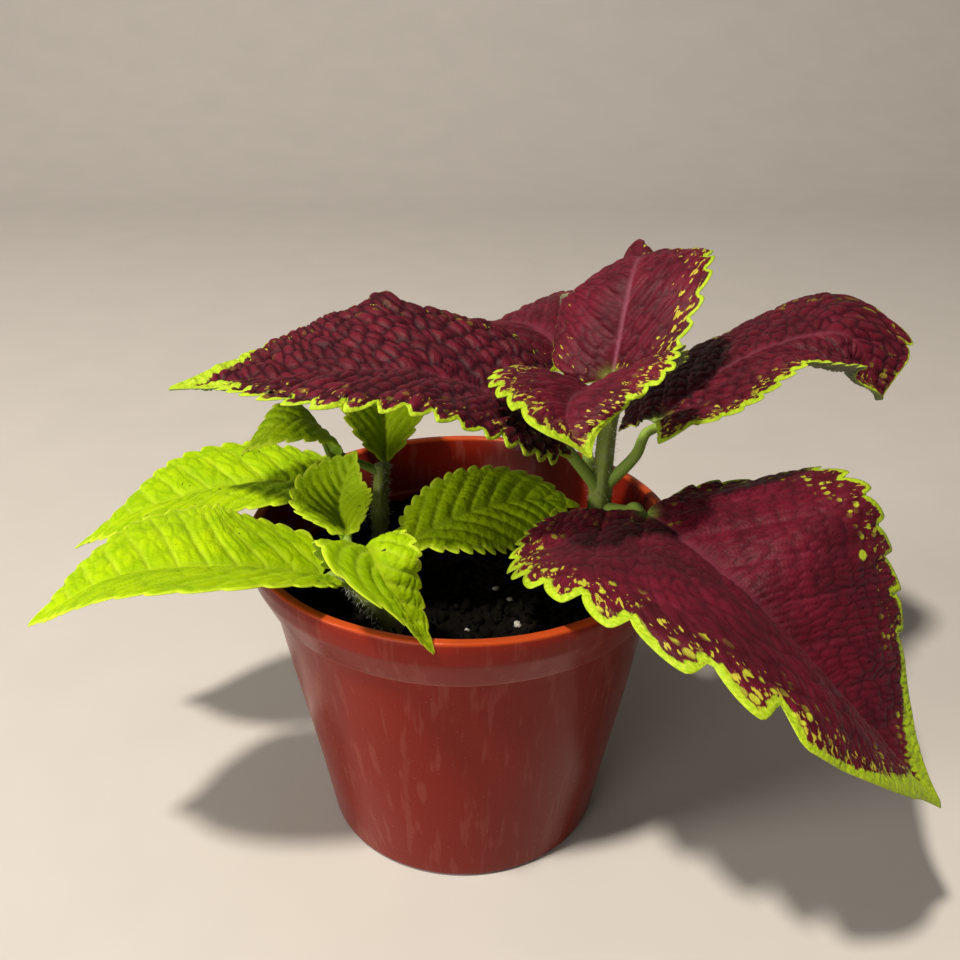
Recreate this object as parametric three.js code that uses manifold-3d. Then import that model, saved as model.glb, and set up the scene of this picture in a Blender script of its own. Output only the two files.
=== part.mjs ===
// A potted coleus: a plastic nursery pot of soil with three leafy stems.
// Millimetres, +Z up, the origin at the centre of the pot's base, the viewer on the -Y side.
import * as THREE from "three";
import { mergeVertices } from "three/addons/utils/BufferGeometryUtils.js";
import Module from "manifold-3d";

const wasm = await Module();
wasm.setup();

// Pot: a tapered wall, a rim band that stands out above a small step, a flat base with drain holes
const POT_HEIGHT = 82;
const BASE_RADIUS = 35.5;
const RIM_RADIUS = 52.5;
const BAND_BOTTOM = 68;
const BAND_BOTTOM_RADIUS = 48.4;
const WALL_TOP_RADIUS = 47.4;
const WALL = 1.6;
const LIP = 2.5;
const FLOOR = 2.4;
const EDGE = 0.8;
const POT_SIDES = 48;
const DRAIN_HOLES = 6;
const DRAIN_RADIUS = 4;
const DRAIN_CIRCLE = 24;

// Soil: it fills the pot to just below the band, with a rough top
const GAP = 0.3;
const SOIL_TOP = 66;
const SOIL_SIDES = 36;
const CRUMB = 0.9;

// Stems, stalks and leaves
const STEM_SIDES = 8;
const STEM_STEPS = 9;
const STALK_SIDES = 6;
const STALK_STEPS = 5;
const BLADE = 0.7;
const RIB = 0.7;
const TIP = 0.98;
const CROWD = 1.25;
const QUILT = 1.1;
const HEM = 0.2;
const CRISP = 0.01;

// The leaf outlines. wide: where along the rib the leaf is widest, base: its left and right half
// width at the foot, as a share of the widest, taper: how drawn out the tip is, left and right, sweep:
// how far forward the side veins lean, as a share of the half width, at the foot and past two fifths of the
// leaf, tooth: how deep a scallop is, toothed: where along the rib the scallops stop.
const BURGUNDY = {
  wide: 0.29, base: [0.5, 0.5], taper: [1.3, 1.3], sweep: [-0.51, 0.4], tooth: 2.8, toothed: 0.82,
};
const LIME = {
  wide: 0.36, base: [0.34, 0.34], taper: [1.1, 1.1], sweep: [-0.5, 0.41], tooth: 1.8, toothed: 0.95,
};

// How finely a blade is divided: stations along the rib, two to a tooth and four to a side vein,
// and strips from the rib to the edge
const LARGE = { stations: 28, strips: 4 };
const MIDDLE = { stations: 24, strips: 3 };
const SMALL = { stations: 16, strips: 3 };

const STEMS = [
  {
    name: "burgundy_stem",
    path: [[32, 8, 46], [34, 9, 70], [35.3, 10, 92], [36.2, 10.4, 110]],
    radius: [2.8, 2.1],
    nodes: [0.55, 0.63, 0.97],
  },
  {
    name: "lime_front_stem",
    path: [[-12, -22, 46], [-16.5, -23.2, 66], [-25.8, -25, 81.5], [-25.2, -25, 88.5]],
    radius: [2.6, 2.1],
    nodes: [0.7, 1],
  },
  {
    name: "lime_back_stem",
    path: [[-21.3, 15.5, 46], [-21.8, 16.5, 66], [-21.6, 17.2, 79], [-20.6, 18.3, 89.5]],
    radius: [2.3, 1.8],
    nodes: [0.68, 1],
  },
];

// Each leaf: its path goes from inside the stem along the stalk to the foot of the blade (the third
// point), then along the rib to the tip. width: the widest half on the left and right of the rib,
// seen from above and looking to the tip. fold: how many degrees each half rises from level, at even
// steps from the foot to the tip. curl: how many degrees more it turns up on its way to the edge, as
// one number for the whole length or several at even steps. hem: how many degrees more the last fifth
// turns up.
const LEAVES = [
  {
    name: "burgundy_leaf_left", size: LARGE, stalk: [1.7, 1.2],
    form: { ...BURGUNDY, base: [0.5, 0.75], taper: [1.7, 1.05] },
    path: [[35, 9.8, 85], [25, 7, 99], [15.5, 3, 110.5], [-10.5, -3.5, 122.5], [-37.5, -7.5, 122.5],
      [-68.5, -3.5, 118.5]],
    width: [31.5, 34], fold: [[-3, 17, 12], [26, 10, 8]], curl: [-18, 0], hem: [-35, -60],
  },
  {
    name: "burgundy_leaf_centre", size: LARGE, stalk: [1.4, 1.1],
    form: { ...BURGUNDY, base: [0.42, 0.37], sweep: [-0.36, 0.4] },
    path: [[36.1, 10.4, 107], [36.8, 13.2, 110], [36.8, 14, 114], [41, 22, 135.5], [46, 39.5, 137.5],
      [51, 57, 127.5]],
    width: [24, 20], fold: [[21, -20, -4], [16, 12, 6]], curl: [-28, 0], hem: [-50, 0],
  },
  {
    name: "burgundy_leaf_front", form: { ...BURGUNDY, base: [0.42, 0.42] }, size: MIDDLE, stalk: [1.4, 1.1],
    path: [[36.1, 10.4, 107], [35.7, 6, 110.8], [34.6, 0.5, 114], [25.5, -13, 121], [21.5, -31, 122],
      [26, -39.5, 117]],
    width: [26, 19.5], fold: [[37, 30, 16], [7, 19, 15]], curl: [0, -14], hem: [0, -30],
  },
  {
    name: "burgundy_leaf_right", size: LARGE, stalk: [1.7, 1.2],
    form: { ...BURGUNDY, base: [0.36, 0.46], taper: [0.9, 0.85] },
    path: [[35.2, 9.9, 86], [42.5, 8, 95.5], [48, 10, 104.5], [73, 23, 117], [97, 24, 121.5],
      [106, 19.5, 104.5]],
    width: [34, 31.5], fold: [[-16, -3, 42], [24, 20, -9, -50, 75]], curl: [-15, [0, 0, 45, 135, 150]],
    hem: [-50, 0],
  },
  {
    name: "burgundy_leaf_low_right", size: LARGE, stalk: [1.8, 1.3],
    form: { ...BURGUNDY, wide: 0.22, base: [0.02, 0.36], taper: [1, 1.1], sweep: [-0.7, 0.29], tooth: 3.4 },
    path: [[34.7, 9.6, 80.5], [40.5, 3, 83], [44, -6.5, 87.5], [62, -32.5, 81.5], [81.5, -45.5, 62.5],
      [105.5, -56.5, 40]],
    width: [44.5, 45.5], fold: [[2, 25, -8], [0, 38, 10]], curl: [-7, [-8, -45, -30]], hem: [0, -25],
  },
  {
    name: "burgundy_leaf_back", form: { ...BURGUNDY, base: [0.2, 0.36] }, size: MIDDLE, stalk: [1.6, 1.1],
    path: [[34.7, 9.6, 80.5], [31, 22.5, 97], [28.5, 35.5, 110], [19, 47.5, 116], [9, 61, 112],
      [2, 76, 103]],
    width: [22, 24], fold: [[10, 10, 10], [10, 16, 4]], curl: [-10, -5], hem: [-30, -30],
  },
  {
    name: "lime_front_leaf_left", form: LIME, size: LARGE, stalk: [1.5, 1.1],
    path: [[-25.9, -25, 81.5], [-29, -26, 82.5], [-31.5, -26.5, 83], [-51, -35, 90.5], [-73.5, -36, 88.5],
      [-95.5, -37, 76.5]],
    width: [21, 27], fold: [[14, 16, 9], [15, 5, 11]], curl: [0, -7], hem: [0, 0],
  },
  {
    name: "lime_front_leaf_right", form: LIME, size: MIDDLE, stalk: [1.4, 1.1],
    path: [[-25.9, -25, 81.5], [-18.5, -20.5, 84], [-11.5, -16, 86], [1.5, -7, 88.5], [16.5, 2, 87],
      [30, 4, 84]],
    width: [14, 14], fold: [[5, 20, 10], [7, -24, 4]], curl: [0, -14], hem: [0, 0],
  },
  {
    name: "lime_front_leaf_back", form: LIME, size: SMALL, stalk: [1.2, 0.9],
    path: [[-25.3, -25, 86], [-26, -21, 87.5], [-26.8, -17, 87.8], [-29.5, -8, 89], [-29, -1, 92.5],
      [-25.5, 4, 100]],
    width: [12, 9], fold: [[31, 12, 6], [35, 17, 11]], curl: [0, 0], hem: [0, 0],
  },
  {
    name: "lime_front_leaf_front", form: LIME, size: SMALL, stalk: [1.2, 0.9],
    path: [[-25.3, -25, 86], [-24, -29.5, 89.3], [-23, -32.5, 91], [-19.5, -41.5, 98.5], [-15.5, -51, 96],
      [-5.5, -55, 81]],
    width: [9.5, 12.5], fold: [[14, 14, 12], [-14, 28, 12]], curl: [0, 0], hem: [0, 0],
  },
  {
    name: "lime_back_leaf_left", form: { ...LIME, base: [0.5, 0.5] }, size: LARGE, stalk: [1.4, 1],
    path: [[-21.6, 17.2, 78], [-26, 18.2, 81.5], [-30.5, 19, 83.5], [-55, 14, 86], [-79.5, 9.5, 81],
      [-101.5, 10.5, 68.5]],
    width: [19, 19], fold: [[10, 10, 10], [6, 16, 2]], curl: [-10, -9], hem: [0, 0],
  },
  {
    name: "lime_back_leaf_upper_left", form: LIME, size: SMALL, stalk: [1.2, 0.9],
    path: [[-20.8, 18.1, 86.5], [-26, 17.5, 89.5], [-32.5, 15, 94.5], [-36.5, 10.5, 104.5],
      [-44.5, 6.5, 106], [-54.4, 5, 97.5]],
    width: [10, 8.2], fold: [[-20, -14, 10], [16, 10, 7]], curl: [0, 0], hem: [0, 0],
  },
  {
    name: "lime_back_leaf_upper_right", size: SMALL, stalk: [1.2, 0.9],
    form: { ...LIME, base: [0.1, 0.1], sweep: [0, 0.3] },
    path: [[-20.8, 18.1, 86.5], [-20.3, 19.8, 87.3], [-20.2, 21.4, 88.2], [-20.8, 30, 94.5],
      [-21.5, 42, 98.5], [-23.5, 54, 99]],
    width: [13, 13], fold: [[30, 20, 10], [30, 20, 10]], curl: [0, 0], hem: [0, 0],
  },
];

const plastic = new THREE.MeshStandardMaterial({ color: 0xa03a22, roughness: 0.35, metalness: 0 });
const earth = new THREE.MeshStandardMaterial({ color: 0x14100d, roughness: 0.95, metalness: 0 });
const greenStem = new THREE.MeshStandardMaterial({ color: 0x7d9440, roughness: 0.6, metalness: 0 });
const burgundyLeaf = new THREE.MeshStandardMaterial({ color: 0x5a1522, roughness: 0.6, metalness: 0 });
const limeLeaf = new THREE.MeshStandardMaterial({ color: 0xa6cc14, roughness: 0.55, metalness: 0 });

const plant = new THREE.Group();

function addPiece(name, geometry, material) {
  const mesh = new THREE.Mesh(geometry, material);
  mesh.name = name;
  plant.add(mesh);
}

function toSolid(geometry) {
  const bare = geometry.clone();
  bare.deleteAttribute("normal");
  bare.deleteAttribute("uv");
  const merged = mergeVertices(bare, 1e-4);
  return new wasm.Manifold(new wasm.Mesh({
    numProp: 3,
    vertProperties: new Float32Array(merged.attributes.position.array),
    triVerts: new Uint32Array(merged.index.array),
  }));
}

function toGeometry(solid) {
  const mesh = solid.simplify(CRISP).getMesh();
  const geometry = new THREE.BufferGeometry();
  geometry.setAttribute("position", new THREE.BufferAttribute(mesh.vertProperties, 3));
  geometry.setIndex(new THREE.BufferAttribute(mesh.triVerts, 1));
  return geometry;
}

function indexed(points, triangles) {
  const geometry = new THREE.BufferGeometry().setFromPoints(points);
  geometry.setIndex(triangles);
  return geometry;
}

function lathe(profile, sides) {
  return new THREE.LatheGeometry(profile.map(([r, z]) => new THREE.Vector2(r, z)), sides).rotateX(Math.PI / 2);
}

function curveThrough(points) {
  return new THREE.CatmullRomCurve3(points.map((p) => new THREE.Vector3(...p)), false, "catmullrom", 0.5);
}

// A round rod along a curve: rings of points across it, closed by a fan at each end
function rod(curve, radiusAt, sides, steps) {
  const frames = curve.computeFrenetFrames(steps, false);
  const points = [];
  const triangles = [];
  for (let i = 0; i <= steps; i++) {
    const centre = curve.getPointAt(i / steps);
    for (let j = 0; j < sides; j++) {
      const turn = (j / sides) * 2 * Math.PI;
      points.push(centre.clone()
        .addScaledVector(frames.normals[i], radiusAt(i / steps) * Math.cos(turn))
        .addScaledVector(frames.binormals[i], radiusAt(i / steps) * Math.sin(turn)));
      if (i === steps) continue;
      const a = i * sides + j;
      const b = i * sides + (j + 1) % sides;
      triangles.push(a, b, a + sides, b, b + sides, a + sides);
    }
  }
  const start = points.push(curve.getPoint(0)) - 1;
  const end = points.push(curve.getPoint(1)) - 1;
  for (let j = 0; j < sides; j++) {
    const next = (j + 1) % sides;
    triangles.push(start, next, j, end, steps * sides + j, steps * sides + next);
  }
  return indexed(points, triangles);
}

// Pot, in one piece with its band and floor
function makePot() {
  const wallRadius = (z) => BASE_RADIUS + ((WALL_TOP_RADIUS - BASE_RADIUS) * z) / BAND_BOTTOM;
  const outside = [
    [0, 0], [BASE_RADIUS - EDGE, 0], [wallRadius(EDGE), EDGE], [WALL_TOP_RADIUS, BAND_BOTTOM],
    [BAND_BOTTOM_RADIUS, BAND_BOTTOM + EDGE / 2], [RIM_RADIUS - 0.6, POT_HEIGHT - 6],
    [RIM_RADIUS, POT_HEIGHT - 2], [RIM_RADIUS - EDGE / 2, POT_HEIGHT],
  ];
  const inside = [
    [RIM_RADIUS - LIP, POT_HEIGHT], [wallRadius(BAND_BOTTOM) - WALL, BAND_BOTTOM],
    [wallRadius(FLOOR) - WALL, FLOOR], [0, FLOOR],
  ];
  let pot = toSolid(lathe([...outside, ...inside], POT_SIDES));
  for (let i = 0; i < DRAIN_HOLES; i++) {
    const angle = ((i + 0.5) / DRAIN_HOLES) * 2 * Math.PI;
    const hole = new THREE.CylinderGeometry(DRAIN_RADIUS, DRAIN_RADIUS, 4 * FLOOR, 16)
      .rotateX(Math.PI / 2)
      .translate(DRAIN_CIRCLE * Math.cos(angle), DRAIN_CIRCLE * Math.sin(angle), 0);
    pot = pot.subtract(toSolid(hole));
  }
  return toGeometry(pot);
}

function innerRadius(z) {
  return BASE_RADIUS + ((WALL_TOP_RADIUS - BASE_RADIUS) * z) / BAND_BOTTOM - WALL;
}

// Soil: a plug of the pot's inside, its top raised in crumbs by three crossing waves, and a plain
// hole for each stem
function makeSoil(stems) {
  const low = FLOOR + GAP;
  const rings = [0.97, 0.82, 0.64, 0.46, 0.28, 0.12];
  const top = innerRadius(SOIL_TOP) - GAP;
  const geometry = lathe([
    [0, low], [innerRadius(low) - GAP, low], [top, SOIL_TOP], ...rings.map((share) => [top * share, SOIL_TOP]),
    [0, SOIL_TOP],
  ], SOIL_SIDES);
  const place = geometry.attributes.position;
  for (let i = 0; i < place.count; i++) {
    const [x, y, z] = [place.getX(i), place.getY(i), place.getZ(i)];
    const edge = Math.hypot(x, y) > top * 0.99;
    if (z < SOIL_TOP - 1 || edge) continue;
    place.setZ(i, z + CRUMB * (Math.sin(x * 1.9) * Math.cos(y * 1.7) + 0.6 * Math.sin(x * 0.5 + y * 0.8)));
  }
  return toGeometry(stems.reduce((soil, stem) => soil.subtract(stem), toSolid(geometry)));
}

// A path with both its ends moved on by the same distance
function lengthened(path, extra) {
  const points = path.map((p) => new THREE.Vector3(...p));
  const outward = (end, next) => end.clone().sub(next).setLength(extra).add(end);
  const first = outward(points[0], points[1]);
  const last = outward(points.at(-1), points.at(-2));
  return [first, ...points.slice(1, -1), last].map((p) => p.toArray());
}

// A stem tapers from its foot to its top and swells a little at its nodes
function stemSolid(stem, extra) {
  const curve = curveThrough(lengthened(stem.path, extra));
  const radiusAt = (t) => {
    const swell = stem.nodes.reduce((sum, node) => sum + Math.exp(-(((t - node) / 0.05) ** 2)), 0);
    return THREE.MathUtils.lerp(stem.radius[0], stem.radius[1], t) + 0.4 * swell + extra;
  };
  return toSolid(rod(curve, radiusAt, STEM_SIDES, STEM_STEPS));
}

// Half width of a leaf at a share s of its rib: it swells from the foot to the widest place as a
// sine, then falls to the tip as a cosine raised to the taper
function halfWidth(form, half, s) {
  const base = form.base[half];
  if (s < form.wide) return base + (1 - base) * Math.sin((Math.PI / 2) * (s / form.wide)) ** 0.8;
  return Math.cos((Math.PI / 2) * ((s - form.wide) / (1 - form.wide))) ** form.taper[half];
}

// A scallop from notch to notch, leaning forward
function scallop(t) {
  return Math.max(Math.sin(Math.PI * t ** 0.8), 0) ** 0.6;
}

// The rib as a list of places with the direction along it, to its right and up from it
function ribFrames(path, count) {
  const curve = curveThrough(path);
  const foot = 2 / (path.length - 1);
  const frames = [];
  let length = 0;
  for (let i = 0; i <= count; i++) {
    const t = foot + ((1 - foot) * i) / count;
    const point = curve.getPoint(t);
    const along = curve.getTangent(t);
    const right = along.clone().cross(new THREE.Vector3(0, 0, 1)).normalize();
    const up = right.clone().cross(along);
    if (i > 0) length += point.distanceTo(frames[i - 1].point);
    frames.push({ point, along, right, up, length });
  }
  return frames;
}

// The frame at a distance a along the rib, carried on straight past the foot and the tip
function frameAt(frames, a) {
  const total = frames.at(-1).length;
  const held = THREE.MathUtils.clamp(a, 0, total);
  let i = 0;
  while (i < frames.length - 2 && frames[i + 1].length < held) i++;
  const f = frames[i];
  const g = frames[i + 1];
  const t = (held - f.length) / (g.length - f.length);
  const mix = (key) => f[key].clone().lerp(g[key], t);
  const along = mix("along").normalize();
  return {
    point: mix("point").addScaledVector(along, a - held),
    right: mix("right").normalize(),
    up: mix("up").normalize(),
  };
}

// The polynomial through values that stand at even steps from x = 0 to 1. A lone number is flat.
function through(values, x) {
  const steps = [values].flat();
  const place = (i) => i / (steps.length - 1);
  const others = (i) => steps.map((_, j) => j).filter((j) => j !== i);
  return steps.reduce((sum, value, i) => (
    sum + others(i).reduce((term, j) => (term * (x - place(j))) / (place(i) - place(j)), value)), 0);
}

// How far a strip reaches out and up that starts at an angle, turns by so many degrees a millimetre
// and has a length
function arcStep(start, turn, length) {
  const from = THREE.MathUtils.degToRad(start);
  const rate = THREE.MathUtils.degToRad(turn || 0.001);
  return {
    out: (Math.sin(from + rate * length) - Math.sin(from)) / rate,
    lift: (Math.cos(from) - Math.cos(from + rate * length)) / rate,
  };
}

// A point of the blade, at a share of the stations from foot to tip, and side from -1 on the left
// edge to 1 on the right. The stations crowd towards the foot, as the side veins do. The flat leaf's
// distances, a along the rib and b across, are bent by the fold, the curl and the hem into two arcs,
// and the quilting lifts the blade between its side veins.
function bladePoint(leaf, frames, share, side) {
  const { form, size } = leaf;
  const s = TIP * share ** CROWD;
  const half = side > 0 ? 1 : 0;
  const q = Math.abs(side);
  const clamp = THREE.MathUtils.clamp;
  const total = frames.at(-1).length;
  const w = leaf.width[half] * halfWidth(form, half, s);
  const toothSize = form.tooth * clamp(s * 10, 0, 1) * clamp((form.toothed - s) * 8, 0, 1);
  const tooth = (scallop((share * size.stations / 2) % 1) - 0.5) * toothSize * q ** 5;
  const lean = form.sweep[0] + (form.sweep[1] - form.sweep[0]) * clamp(s / 0.4, 0, 1) ** 0.8;
  const a = total * s + w * q * lean * clamp((1 - s) * 5, 0, 1) + tooth / 2;
  const b = w * q + tooth;
  const x = clamp(a / total, 0, 1);
  const fold = through(leaf.fold[half], x);
  const curl = through(leaf.curl[half], x) / leaf.width[half];
  const hemStart = (1 - HEM) * w;
  const turned = fold + curl * Math.min(b, hemStart);
  const inner = arcStep(fold, curl, Math.min(b, hemStart));
  const hem = arcStep(turned, leaf.hem[half] / (HEM * leaf.width[half]), Math.max(b - hemStart, 0));
  const ripple = Math.abs(Math.sin((Math.PI / 4) * share * size.stations));
  const quilt = QUILT * ripple * Math.sin(Math.PI * q ** 0.8);
  const lift = inner.lift + hem.lift + quilt * clamp((1 - s) * 3, 0, 1) * Math.min(w / 12, 1);
  const { point, right, up } = frameAt(frames, a);
  return point.addScaledVector(right, Math.sign(side) * (inner.out + hem.out)).addScaledVector(up, lift);
}

// The blade: one sheet of points, given its thickness by a step along the surface's own direction
// to each side, split into triangles alike on both faces and closed round its edge. The rib stands
// out below.
function bladeGeometry(leaf) {
  const { stations, strips } = leaf.size;
  const frames = ribFrames(leaf.path, 60);
  const across = 2 * strips + 1;
  const sideAt = (j) => {
    const share = (j - strips) / strips;
    return Math.sign(share) * Math.abs(share) ** 0.85;
  };
  const sheet = [];
  for (let i = 0; i <= stations; i++) {
    for (let j = 0; j < across; j++) sheet.push(bladePoint(leaf, frames, i / stations, sideAt(j)));
  }
  const at = (i, j) => sheet[
    THREE.MathUtils.clamp(i, 0, stations) * across + THREE.MathUtils.clamp(j, 0, across - 1)];
  const points = [];
  for (const face of [1, -1]) {
    for (let i = 0; i <= stations; i++) {
      for (let j = 0; j < across; j++) {
        const along = at(i + 1, j).clone().sub(at(i - 1, j));
        const right = at(i, j + 1).clone().sub(at(i, j - 1));
        const out = right.cross(along).normalize();
        const ribbed = face < 0 && j === strips ? RIB * (1 - i / stations) : 0;
        points.push(at(i, j).clone().addScaledVector(out, face * (BLADE / 2 + ribbed)));
      }
    }
  }
  const below = (stations + 1) * across;
  const triangles = [];
  const quad = (a, b, c, d) => triangles.push(a, b, c, a, c, d);
  for (let i = 0; i < stations; i++) {
    for (let j = 0; j < across - 1; j++) {
      const a = i * across + j;
      const [b, c, d] = [a + 1, a + across + 1, a + across];
      quad(a, b, c, d);
      triangles.push(below + a, below + c, below + b, below + a, below + d, below + c);
    }
  }
  const edge = [];
  for (let j = 0; j < across - 1; j++) edge.push(j);
  for (let i = 0; i < stations; i++) edge.push(i * across + across - 1);
  for (let j = across - 1; j > 0; j--) edge.push(stations * across + j);
  for (let i = stations; i > 0; i--) edge.push(i * across);
  edge.forEach((a, k) => {
    const b = edge[(k + 1) % edge.length];
    quad(a, below + a, below + b, b);
  });
  return indexed(points, triangles);
}

// The stalk runs from inside the stem to just past the blade's foot, where it meets the rib
function stalkSolid(leaf) {
  const curve = curveThrough(leaf.path);
  const foot = 2 / (leaf.path.length - 1);
  const reach = foot + 0.02;
  const part = curveThrough(Array.from({ length: 7 }, (_, i) => curve.getPoint((reach * i) / 6).toArray()));
  const radiusAt = (t) => THREE.MathUtils.lerp(leaf.stalk[0], leaf.stalk[1], t);
  return toSolid(rod(part, radiusAt, STALK_SIDES, STALK_STEPS));
}

function leafGeometry(leaf, rooms) {
  const whole = toSolid(bladeGeometry(leaf)).add(stalkSolid(leaf));
  return toGeometry(rooms.reduce((solid, room) => solid.subtract(room), whole));
}

const rooms = STEMS.map((stem) => stemSolid(stem, GAP));
addPiece("pot", makePot(), plastic);
addPiece("soil", makeSoil(rooms), earth);
for (const stem of STEMS) addPiece(stem.name, toGeometry(stemSolid(stem, 0)), greenStem);
for (const leaf of LEAVES) {
  const material = leaf.name.startsWith("burgundy") ? burgundyLeaf : limeLeaf;
  addPiece(leaf.name, leafGeometry(leaf, rooms), material);
}

export default plant;
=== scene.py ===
# %% [markdown]
# # A potted coleus
# This lesson dresses a coleus in its nursery pot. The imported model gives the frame: every leaf, stem,
# the soil and the pot are already there at their real size, as plain faceted solids. Each is replaced
# here by a finer piece that keeps its form, and gets a finish worked out from nodes.
# Sizes are written in millimetres, as the plant was measured, and MM turns them into metres.

import bpy
import numpy as np
from mathutils import Matrix, Vector


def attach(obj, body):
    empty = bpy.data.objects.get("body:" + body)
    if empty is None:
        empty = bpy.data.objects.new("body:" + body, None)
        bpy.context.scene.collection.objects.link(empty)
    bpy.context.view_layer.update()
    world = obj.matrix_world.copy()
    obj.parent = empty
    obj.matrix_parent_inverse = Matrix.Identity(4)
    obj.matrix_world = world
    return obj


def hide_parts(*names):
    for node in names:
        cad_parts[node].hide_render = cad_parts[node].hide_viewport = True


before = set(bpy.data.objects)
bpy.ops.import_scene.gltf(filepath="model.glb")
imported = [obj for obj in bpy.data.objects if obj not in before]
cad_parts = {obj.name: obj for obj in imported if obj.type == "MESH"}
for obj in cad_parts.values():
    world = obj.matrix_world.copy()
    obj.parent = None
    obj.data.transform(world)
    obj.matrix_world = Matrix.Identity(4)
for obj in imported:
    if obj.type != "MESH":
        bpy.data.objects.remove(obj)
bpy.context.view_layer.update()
MM = 0.001
BODY = "root"
print("solids in the frame:", len(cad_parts))

# %% [markdown]
# ## The camera
# The picture was taken from in front and above, close to the pot. The camera could be placed by eye,
# but a place and a point that it looks at are easier to correct: both came from the pot's rim and base,
# whose circles show as two ellipses. The lens is given by its field of view across the square picture.

# %% Camera
CAMERA_PLACE = Vector((0.0, -238.1, 212.1)) * MM
CAMERA_AIM = Vector((4.6, 24.1, 81.4)) * MM
CAMERA_ROLL = np.radians(0.17)
SENSOR = 36.0
FOCAL_LENGTHS_PER_WIDTH = 1.1458


def add_camera():
    """A camera at its place, with its back axis from the aim to the place, its right axis level and
    then turned by the roll."""
    back = (CAMERA_PLACE - CAMERA_AIM).normalized()
    right = Vector((0, 0, 1)).cross(back).normalized()
    up = back.cross(right)
    axes = Matrix((right, up, back)).transposed() @ Matrix.Rotation(CAMERA_ROLL, 3, "Z")
    data = bpy.data.cameras.new("camera")
    data.sensor_width = SENSOR
    data.lens = SENSOR * FOCAL_LENGTHS_PER_WIDTH
    data.clip_start, data.clip_end = 0.01, 20
    camera = bpy.data.objects.new("camera", data)
    camera.matrix_world = Matrix.Translation(CAMERA_PLACE) @ axes.to_4x4()
    bpy.context.scene.collection.objects.link(camera)
    bpy.context.scene.camera = camera
    return camera


camera = add_camera()
print("camera lens in mm:", round(camera.data.lens, 2))

# %% [markdown]
# ## Meshes from arrays
# Every piece below is a set of points worked out as whole arrays, and faces that join them. One helper
# puts the arrays into a mesh with foreach_set, which is far quicker than adding faces one at a time.
# It also stores numbers on the points, which the materials read back by name: how far a point lies
# from the leaf's edge, how near it is to a vein, and so on.

# %% Mesh helpers
TWO_PI = 2 * np.pi


def full_turn(sides):
    """Angles at even steps once round."""
    return np.linspace(0, TWO_PI, sides, endpoint=False)


def turned(reach, angle, z):
    """Points at a reach and an angle round the upright axis, at the height z."""
    return np.stack(np.broadcast_arrays(reach * np.cos(angle), reach * np.sin(angle), z), axis=-1)


def bell(x, radius):
    """1 at x = 0, falling off on both sides as e to the minus (x / radius) squared."""
    return np.exp(-((x / radius) ** 2))


def between(pair, share):
    """From the first value of a pair to the second by a share from 0 to 1."""
    return pair[0] + (pair[1] - pair[0]) * share


def walked_along(points):
    """The distance walked from the first point to each point of a line."""
    return np.concatenate([[0], np.cumsum(np.linalg.norm(np.diff(points, axis=0), axis=1))])


def add_mesh(name, points, faces, fields=None):
    """A smooth mesh object. points is an array of places in mm, faces a list of index arrays, one for
    each number of corners, and fields a dict of numbers or vectors stored on the points."""
    mesh = bpy.data.meshes.new(name)
    mesh.vertices.add(len(points))
    mesh.vertices.foreach_set("co", (points * MM).astype(np.float32).ravel())
    corners = np.concatenate([f.ravel() for f in faces]).astype(np.int32)
    sizes = np.concatenate([np.full(len(f), f.shape[1]) for f in faces])
    starts = np.concatenate([[0], np.cumsum(sizes)[:-1]]).astype(np.int32)
    mesh.loops.add(len(corners))
    mesh.loops.foreach_set("vertex_index", corners)
    mesh.polygons.add(len(starts))
    mesh.polygons.foreach_set("loop_start", starts)
    mesh.update(calc_edges=True)
    mesh.polygons.foreach_set("use_smooth", np.ones(len(starts), bool))
    for key, value in (fields or {}).items():
        kind = "FLOAT_VECTOR" if value.ndim == 2 else "FLOAT"
        slot = "vector" if value.ndim == 2 else "value"
        store = mesh.attributes.new(key, kind, "POINT")
        store.data.foreach_set(slot, value.astype(np.float32).ravel())
    piece = bpy.data.objects.new(name, mesh)
    bpy.context.scene.collection.objects.link(piece)
    return piece


def grid_faces(rows, columns, first=0):
    """Quads of a grid of points stored row by row, turned so that they face the way in which the
    cross product of a step along a row and a step to the next row points."""
    i, j = np.meshgrid(np.arange(rows - 1), np.arange(columns - 1), indexing="ij")
    a = (first + i * columns + j).ravel()
    return np.stack([a, a + 1, a + columns + 1, a + columns], axis=1)


def ring_faces(rings, sides, first=0):
    """Quads between rings of points, each ring closed on itself."""
    i, j = np.meshgrid(np.arange(rings - 1), np.arange(sides), indexing="ij")
    a = first + i * sides + j
    b = first + i * sides + (j + 1) % sides
    return np.stack([a, b, b + sides, a + sides], axis=-1).reshape(-1, 4)


def fan_faces(ring, centre, flip):
    """Triangles from a ring of indices to a centre point."""
    following = np.roll(ring, -1)
    middle = np.full(len(ring), centre)
    return np.stack([following, ring, middle] if flip else [ring, following, middle], axis=1)


def tube_faces(rings, sides, first=0, inward=False):
    """The side of a tube and its two flat ends, whose centres follow the last ring; inward turns every
    face round."""
    count = rings * sides
    start, end = np.arange(sides) + first, np.arange(sides) + first + count - sides
    caps = np.vstack([fan_faces(start, first + count, not inward),
                      fan_faces(end, first + count + 1, inward)])
    side = ring_faces(rings, sides, first)
    return (side[:, ::-1] if inward else side), caps


def copies(faces, count, points):
    """The same faces for each of count groups of so many points."""
    return (faces + (np.arange(count) * points)[:, None, None]).reshape(-1, faces.shape[1])


def finish_piece(piece, material, slot, *nodes):
    """Gives a piece its material, hangs it on what it rides on and hides the solids that it stands for;
    slot is not used.
    """
    piece.data.materials.append(material)
    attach(piece, BODY)
    if nodes:
        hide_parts(*nodes)
    triangles = sum(len(p.vertices) - 2 for p in piece.data.polygons)
    print(f"{piece.name}: {triangles} triangles")
    return piece


WAVE_STEPS = (127.1, 311.7, 74.7)
WAVE_SIZE = 43758.5453
CELL_WANDER = 0.7


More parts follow.
